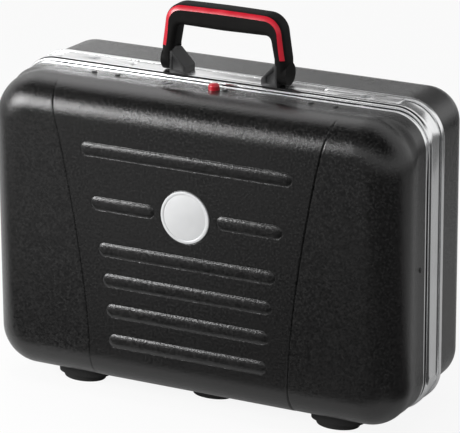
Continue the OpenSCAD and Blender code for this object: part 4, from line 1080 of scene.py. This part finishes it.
def lamp(name, direction, distance, size, power):
    """A soft rectangular lamp that faces the middle of the case."""
    light = bpy.data.lights.new(name, "AREA")
    light.shape = "RECTANGLE"
    light.size, light.size_y = size
    light.energy = power
    o = bpy.data.objects.new(name, light)
    d = Vector(direction).normalized()
    o.location = Vector((0, 0, 0.17)) + d * distance
    o.rotation_mode = "QUATERNION"
    o.rotation_quaternion = d.to_track_quat("Z", "Y")
    bpy.context.scene.collection.objects.link(o)
    return o


def level(x0, x1, y0, y1, z):
    return [(x0, y0, z), (x1, y0, z), (x1, y1, z), (x0, y1, z)]


def upright(x0, x1, y, z0, z1):
    return [(x0, y, z0), (x1, y, z0), (x1, y, z1), (x0, y, z1)]


def card(name, corners, tone):
    """A studio card from four corners in metres: only reflections see it."""
    mesh = bpy.data.meshes.new(name)
    mesh.from_pydata(corners, [], [(0, 1, 2, 3)])
    m = bpy.data.materials.new(name)
    m.use_nodes = True
    b = m.node_tree.nodes["Principled BSDF"]
    b.inputs["Base Color"].default_value = (0, 0, 0, 1)
    b.inputs["Specular IOR Level"].default_value = 0.0
    b.inputs["Emission Color"].default_value = (tone, tone, tone, 1)
    b.inputs["Emission Strength"].default_value = 1.0
    mesh.materials.append(m)
    o = bpy.data.objects.new(name, mesh)
    bpy.context.scene.collection.objects.link(o)
    o.visible_camera = o.visible_diffuse = o.visible_shadow = o.visible_transmission = False


def make_floor():
    """A pale round floor, drawn near white for the camera so that it fades into the world."""
    bm = bmesh.new()
    bmesh.ops.create_circle(bm, cap_ends=True, segments=96, radius=9)
    mesh = bpy.data.meshes.new("studio_floor")
    bm.to_mesh(mesh)
    bm.free()
    o = bpy.data.objects.new("studio_floor", mesh)
    bpy.context.scene.collection.objects.link(o)
    m = bpy.data.materials.new("studio_floor")
    m.use_nodes = True
    t = m.node_tree
    shader = t.nodes["Principled BSDF"]
    shader.inputs["Base Color"].default_value = (0.86, 0.86, 0.86, 1)
    shader.inputs["Roughness"].default_value = 0.9
    shader.inputs["Specular IOR Level"].default_value = 0.1
    glow = t.nodes.new("ShaderNodeEmission")
    glow.inputs["Strength"].default_value = 1.0
    path = t.nodes.new("ShaderNodeLightPath")
    mixer = t.nodes.new("ShaderNodeMixShader")
    share = t.nodes.new("ShaderNodeMath")
    share.operation = "MULTIPLY"
    share.inputs[1].default_value = 0.9
    t.links.new(path.outputs["Is Camera Ray"], share.inputs[0])
    t.links.new(share.outputs[0], mixer.inputs[0])
    t.links.new(shader.outputs[0], mixer.inputs[1])
    t.links.new(glow.outputs[0], mixer.inputs[2])
    t.links.new(mixer.outputs[0], t.nodes["Material Output"].inputs["Surface"])
    mesh.materials.append(m)


make_camera()
bpy.context.scene.view_settings.view_transform = "Standard"
make_world()
lamp("front_left_soft", sky(-46, 20), 1.5, (0.8, 0.36), 20)
lamp("top_soft", sky(10, 80), 2.2, (1.6, 1.2), 8).visible_glossy = False

card("flag_top", level(-3.0, 3.0, -2.3, 0.13, 1.75), 0.02)
card("sky_left", level(-2.6, -0.62, 0.13, 1.6, 1.76), 2.2)
card("back_right", upright(-1.6, 1.0, 3.0, 0.9, 2.3), 0.12)
card("floor_side", level(0.26, 0.75, 0.10, 0.80, 0.003), 0.42)
card("flag_floor_front", level(-3.0, 3.0, -3.0, -0.16, 0.002), 0.05)
card("floor_front_left", level(-3.0, -0.14, -3.0, -0.34, 0.003), 0.30)
card("flag_floor_right", level(0.30, 3.0, -0.16, 0.12, 0.002), 0.05)
card("flag_floor_back", [(0.45, 0.75, 0.002), (3.0, 0.12, 0.002), (3.0, 3.0, 0.002), (0.0, 3.0, 0.002)], 0.16)
card("flag_front_low", upright(-3.0, 3.0, -3.0, 0.0, 0.5), 0.05)
make_floor()
